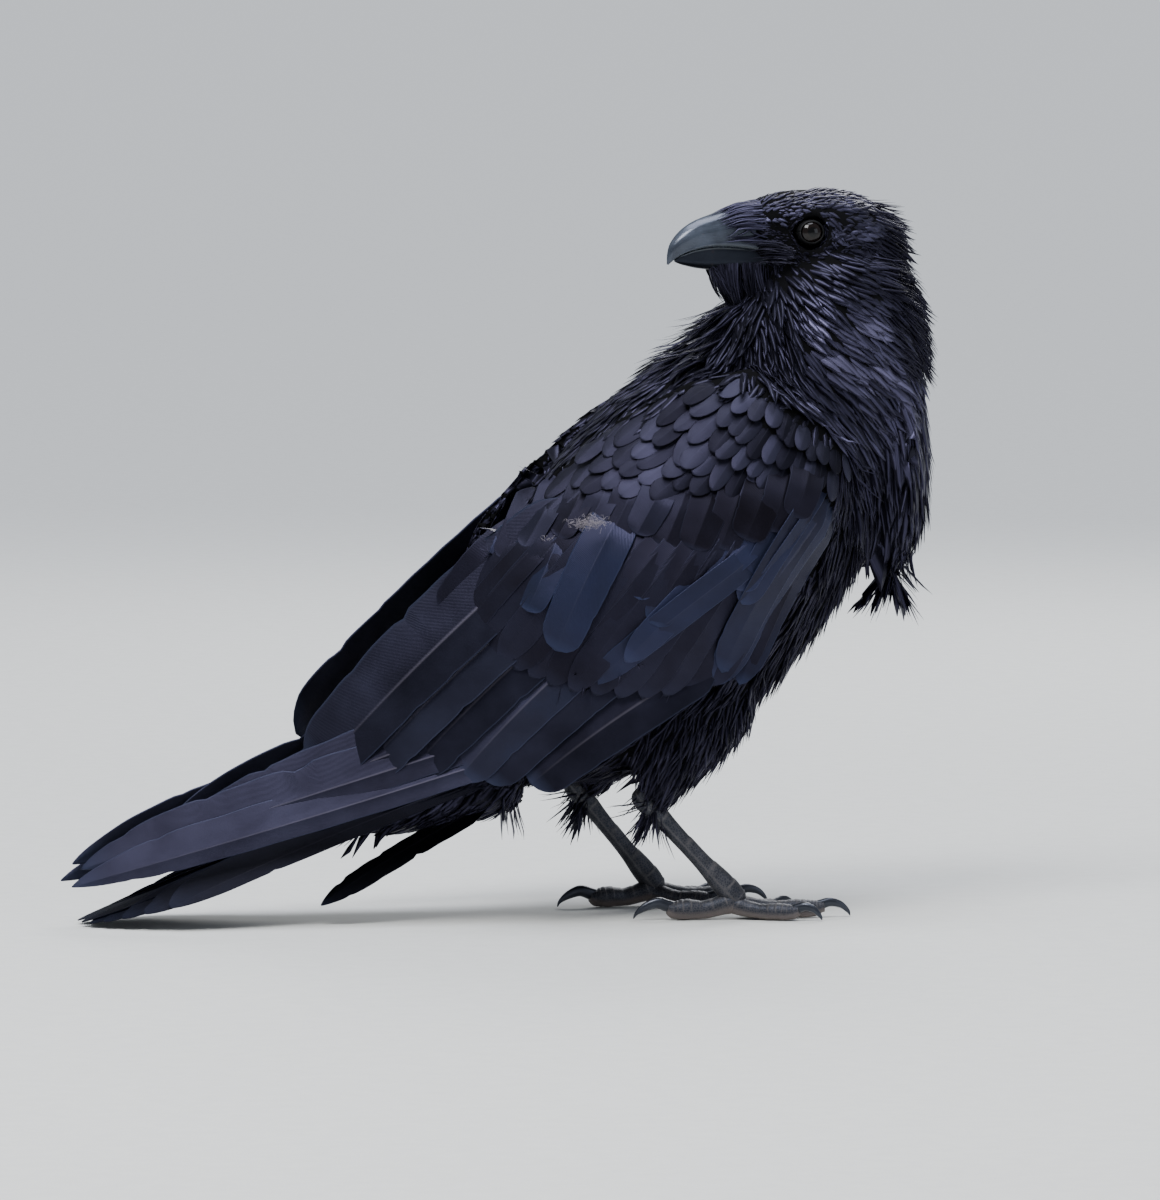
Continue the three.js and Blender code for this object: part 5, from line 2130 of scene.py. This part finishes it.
def coats(plumage: Plumage) -> list[Coat]:
    """Lists the coat's pieces.

    Args:
        plumage: The regions and the lie of the coat.

    Returns:
        The pieces, in the order in which they grow.
    """
    face, head, cheek, nape, hackle, soft, breast, back = (
        FeatherFinish(name, colours, roughness=roughness, gloss=gloss, **rest)
        for name, colours, roughness, gloss, rest in (
            ("short face feathers", ("#050506", "#09090b", "#0f0f12"), 0.55, 0.4, {}),
            ("ruffled head feathers", ("#0a0a0d", "#101015", "#191920", "#2c2c38"), 0.42, 0.8, {}),
            ("velvet cheek feathers", ("#040405", "#08080a", "#0d0d11", "#131318"), 0.55, 0.4, {}),
            ("loose nape feathers", ("#040405", "#08080a", "#0e0e11", "#141418"), 0.5, 0.45, {}),
            # The lightest, lavender colours paint the sheen of the hackles, which the neck's painted sheen
            # brings out at the side of the neck.
            ("glossy throat hackles", ("#060608", "#111117", "#262530", "#474557"), 0.4, 1.0,
             {"shaft": "#474557"}),
            ("beard feathers", ("#050506", "#09090c", "#101015", "#191921"), 0.45, 0.5, {}),
            ("soft breast feathers", ("#040405", "#08080a", "#0e0e11", "#151417"), 0.5, 0.5, {}),
            ("mantle feathers", ("#0a0a0d", "#111117", "#1a1a22"), 0.42, 0.5, {}),
        )
    )
    # The near-black edge colour of the small coverts paints the shadow in the gaps between them.
    wing = FeatherFinish(
        "small wing coverts", ("#08080b", "#0e0f13", "#15161e"), barbs=120, roughness=0.45, edge="#030304",
        edge_depth=0.6, edge_from=0.8, gloss=0.42, shaft="#24242c", shaft_width=0.08,
    )

    def on_head(low: float, high: float) -> Callable[[Array], Array]:
        """A size that grows from `low` at the bill to `high` at the nape."""
        return lambda points: lerp(low, high, smoothstep(25, -35, in_head(points)[:, 0]))

    def down_neck(top: float, bottom: float) -> Callable[[Array], Array]:
        """A size that changes down the neck."""
        return lambda points: lerp(top, bottom, smoothstep(300, 215, points[:, 2]))

    def off_wrist(near: float, far: float) -> Callable[[Array], Array]:
        """A size that grows with the distance from the bend of the wing."""
        bend = np.array([62.0, 244.0])
        return lambda points: lerp(near, far, smoothstep(4, 100, np.hypot(*(points[:, [0, 2]] - bend).T)))

    def to_heel(low: float, high: float) -> Callable[[Array], Array]:
        """A size that changes down the thigh, to hang over the heel."""
        return lambda points: lerp(low, high, smoothstep(62, 92, points[:, 2]))

    def near_eye(low: float, high: float) -> Callable[[Array], Array]:
        """As `on_head`, but shorter round the eye."""
        size = on_head(low, high)

        def sized(points: Array) -> Array:
            """The size at each point."""
            x, _, z = in_head(points).T
            return size(points) * lerp(0.4, 1, smoothstep(6, 13, np.hypot(x, z)) * (x > -4) + (x <= -4))

        return sized

    def collar(points: Array) -> Array:
        """Painted sheen on the neck: the tone, and with it colour and gloss, is highest at the side of the
        neck where light catches the hackles, least at chin and bib.
        """
        x, _, z = points.T
        lit = smoothstep(18, 46, x) * smoothstep(212, 248, z) * smoothstep(300, 276, z)
        return lerp(0.18, 1.1, lit * lerp(1, 0.4, smoothstep(80, 100, x)))

    def upper_hackles(points: Array, normals: Array) -> Array:
        """The neck down to where the hackles lengthen."""
        return plumage.hackles(points, normals) * (points[:, 2] > 232)

    def lower_hackles(points: Array, normals: Array) -> Array:
        """The neck below that."""
        return plumage.hackles(points, normals) * (points[:, 2] <= 234)

    on_rump = plumage.over("tail_coverts")
    on_thighs = plumage.over("thigh_right", "thigh_left")
    over_head, over_neck, over_body = plumage.head_lie, plumage.neck_lie, plumage.body_lie
    over_thigh = plumage.thigh_lie
    pieces = [
        Coat("coat_face", Tuft.STRAND, 1, 0.95, plumage.face, over_head, near_eye(4.0, 5.5),
             on_head(0.9, 1.2), 0.9, 0.1, face, lock=3.0),
        Coat("coat_crown", Tuft.HACKLE, 2, 1.5, plumage.crown, over_head, near_eye(7, 11),
             on_head(2.0, 3.2), near_eye(0.8, 1.3), 0.06, head, yaw=0.2, bend=2.5, lock=5.5, gather=0.4),
        Coat("coat_cheeks", Tuft.HACKLE, 15, 1.5, plumage.cheek, over_head, near_eye(6, 10),
             on_head(1.6, 2.6), near_eye(1.0, 1.4), 0.06, cheek, yaw=0.25, bend=1.5, lock=6, gather=0.3),
        Coat("coat_nape", Tuft.STRAND, 3, 1.75, plumage.nape, over_head, 17, 1.9, 4.4, 0.5, nape, yaw=0.2,
             lock=6),
        Coat("coat_hackles_upper", Tuft.HACKLE, 4, 2.7, upper_hackles, over_neck, down_neck(17, 30),
             down_neck(3.4, 5.0), down_neck(2.0, 3.8), 0.15, hackle, yaw=0.1, lock=9, gather=0.35,
             shade=collar),
        Coat("coat_throat", Tuft.HACKLE, 16, 2.6, plumage.throat, plumage.throat_lie, 25, 2.8, 6.5, 0.35,
             soft, lock=7, gather=0.6),
        Coat("coat_hackles_lower", Tuft.HACKLE, 5, 2.8, lower_hackles, over_neck, down_neck(25, 31), 4.4,
             4.0, 0.4, hackle, lock=10, shade=collar),
        Coat("coat_breast", Tuft.STRAND, 6, 2.3, plumage.breast, over_body, 18, 2.3, 3.2, 0.25, breast,
             yaw=0.2, lock=9),
        Coat("coat_mantle", Tuft.HACKLE, 7, 2.9, plumage.mantle, over_body, 17, 4.2, 1.6, 0.05, back,
             yaw=0.1, lock=7, gather=0.25),
        Coat("coat_rump", Tuft.HACKLE, 8, 3.2, on_rump, over_body, 20, 5.5, 1.6, 0.1, back, lock=10),
        Coat("coat_thighs", Tuft.STRAND, 9, 2.1, on_thighs, over_thigh, to_heel(27, 15), 2.3, 2.8,
             to_heel(0.2, 0.45), breast, yaw=0.25, lock=7),
        Coat("coat_wing_edges", Tuft.STRAND, 13, 2.3, plumage.wing_edge, over_thigh, 16, 2.3, 3.0, 0.15,
             breast, yaw=0.2, lock=8),
    ]
    for side, lift in WING_LIFT.items():
        pieces.append(
            Coat(f"coat_wing_{side.label}", Tuft.COVERT, 10 + side.value, 3.3, plumage.wing(side, lift),
                 plumage.wing_lie, off_wrist(15, 27), off_wrist(7.6, 11.5), off_wrist(2.8, 5.0), 0.0, wing,
                 yaw=0.1, spread=0.1, wing_side=side)
        )
    return pieces


# ---- Studio ----------------------------------------------------------------------------------


@dataclass
class Studio:
    """A pale floor, soft lights and the camera."""

    target: Place = (0.0395, 0.0117, 0.147)
    view: Place = (-0.2074, -0.9758, 0.0698)
    distance: float = 5.0
    lens: float = 319.0
    top: float = 3.0
    # The floor's reach, its tiles along a side, and how far it lies under the soles.
    reach: float = 60.0
    tiles: int = 12
    under: float = -0.0005
    lights: tuple[tuple[str, Place, float, float, str], ...] = (
        ("key", (-0.7, -1.1, 1.9), 0.9, 44.0, "#ffffff"),
        ("fill", (1.9, -1.6, 0.8), 1.2, 7.0, "#eef3ff"),
        ("rim", (0.9, 1.8, 1.5), 1.0, 24.0, "#ffffff"),
    )

    def _aimed(self, name: str, data: bpy.types.ID, at: Vector) -> bpy.types.Object:
        """Places a lamp or a camera that looks at the target.

        Args:
            name: The object's name.
            data: The lamp or camera.
            at: Where it stands.

        Returns:
            The placed object.
        """
        item = bpy.data.objects.new(name, data)
        item.location = at
        item.rotation_euler = (Vector(self.target) - at).to_track_quat("-Z", "Y").to_euler()
        bpy.context.scene.collection.objects.link(item)
        return item

    def _floor(self) -> None:
        """Lays the floor."""
        side = self.tiles + 1
        steps = np.linspace(-self.reach, self.reach, side)
        corners = [(x, y, self.under) for y in steps for x in steps]
        first = [side * j + i for j in range(self.tiles) for i in range(self.tiles)]
        faces = [(at, at + 1, at + side + 1, at + side) for at in first]
        mesh = bpy.data.meshes.new("studio_floor")
        mesh.from_pydata(corners, [], faces)
        show(mesh, MattFinish("pale studio paper", "#d9dad6").make())

    @staticmethod
    def _air() -> None:
        """Fills the room with even light."""
        world = bpy.data.worlds.new("studio air")
        world.use_nodes = True
        back = world.node_tree.nodes["Background"]
        back.inputs["Color"].default_value = linear("#dfe6f2")
        back.inputs["Strength"].default_value = 0.42
        bpy.context.scene.world = world

    def build(self) -> None:
        """Builds the studio."""
        self._floor()
        for name, place, size, power, colour in self.lights:
            lamp = bpy.data.lights.new(name, "AREA")
            lamp.size, lamp.energy, lamp.color = size, power, linear(colour)[:3]
            self._aimed(name, lamp, Vector(place))
        # A wide, even light from above keeps the floor pale to the horizon.
        sky = bpy.data.lights.new("top", "SUN")
        sky.energy, sky.angle, sky.color = self.top, math.radians(44), linear("#f1f4ff")[:3]
        above = bpy.data.objects.new("top", sky)
        above.rotation_euler = (0.04, 0.03, 0.0)
        bpy.context.scene.collection.objects.link(above)
        self._air()
        camera = bpy.data.cameras.new("camera")
        camera.lens, camera.sensor_width, camera.clip_end = self.lens, 36.0, 50.0
        at = Vector(self.target) + Vector(self.view).normalized() * self.distance
        bpy.context.scene.camera = self._aimed("camera", camera, at)
        bpy.context.scene.view_settings.view_transform = "AgX"


# ---- The raven -------------------------------------------------------------------------------


def report(pieces: Sequence[bpy.types.Object]) -> None:
    """Logs each finished piece with its size."""
    for item in pieces:
        mesh = item.data
        mesh.calc_loop_triangles()
        log.info("%s: %d faces, %d triangles", item.name, len(mesh.polygons), len(mesh.loop_triangles))


def main() -> None:
    """Builds the raven, the studio and the camera."""
    logging.basicConfig(level=logging.INFO, format="%(message)s")
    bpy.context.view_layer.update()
    skin = Skin()
    # The skin is near black and hardly glossy, so that where it shows between the tufts it is painted shade.
    report(skin.dress(MattFinish("black skin under down", "#040406", 0.9, gloss=0.1).make()))
    grower = Coats(skin)
    for coat in coats(Plumage(skin)):
        report([grower.grow(coat)])

    # The pale edge colours of these finishes paint a highlight of gloss along each feather's curved rim and
    # tip.
    quill = partial(FeatherFinish, edge_depth=0.8, shaft_width=0.05, barbs=1150, barb_slope=0.14,
                    edge_from=0.94)
    covert = partial(FeatherFinish, barb_slope=0.3, edge_from=0.93)
    flight = quill(
        "flight feathers", ("#08090c", "#101117", "#181a22", "#171e2d"), shaft="#5a5660", roughness=0.4,
        edge="#2a2f40", gloss=0.36,
    ).make()
    steering = quill(
        "tail feathers", ("#050607", "#08090c", "#0c0d11", "#0c1019"), shaft="#34323b", roughness=0.5,
        edge="#171a26", gloss=0.1,
    ).make()
    blue = covert(
        "greater coverts", ("#09090c", "#0f1017", "#121724", "#10182b"), shaft="#2a2b38", barbs=330,
        roughness=0.42, edge="#222a40", gloss=0.36, edge_depth=0.8,
    ).make()
    brown = covert(
        "median coverts", ("#090707", "#0c0b0e", "#101118", "#15161f"), shaft="#1f1f26", barbs=260,
        roughness=0.45, edge="#1d1f2b", gloss=0.32, edge_depth=0.7,
    ).make()
    for side, lift in WING_LIFT.items():
        report(Wing(side, flight, blue, brown, lift).build())
    report(Tail(steering).build())

    # The upper half's light colour was raised to paint its broad highlight; the lower half's darker copy of
    # the horn paints shade.
    horn = HornFinish("slate bill horn", "#1c2026", "#454c57", "#4a3020", 0.2).make()
    shaded_low_horn = HornFinish("lower bill horn", "#090a0c", "#17191d", "#2c2019", 0.34, wax=0.0, gloss=0.3).make()
    report(Bill(horn, shaded_low_horn).build())
    scales = ScaleFinish("leg scales").make()
    report(Eyes(MattFinish("bare eyelid", "#0a0a0c", 0.55, gloss=0.22).make()).build())
    bristles = BristleNodes()
    stiff, pale, soft = (
        FeatherFinish(name, colours, roughness=roughness, gloss=gloss).make()
        for name, colours, roughness, gloss in (
            ("face bristles", ("#040405", "#0c0c10", "#2a2a35"), 0.34, 0.9),
            ("gape bristles", ("#060608", "#121215", "#2a2a2d"), 0.45, 0.4),
            ("throat locks", ("#050506", "#09090b", "#0f0f13", "#16161c"), 0.5, 0.4),
        )
    )
    report(FaceBristles(bristles, stiff, pale, soft).build())
    report(Down(bristles, MattFinish("pale down", "#8d868d", 0.95, 0.2).make()).build())
    claw = HornFinish("claw horn", "#0d0e10", "#22252a", "#2a221c", 0.28, 160.0).make()
    for side, ankle, foot in ((Side.RIGHT, (-34, 56), (7, 12.5)), (Side.LEFT, (-52, 56), (-16, 12.5))):
        report(Leg(side, ankle, foot, scales, claw).build())

    Studio().build()


if __name__ == "__main__":
    main()
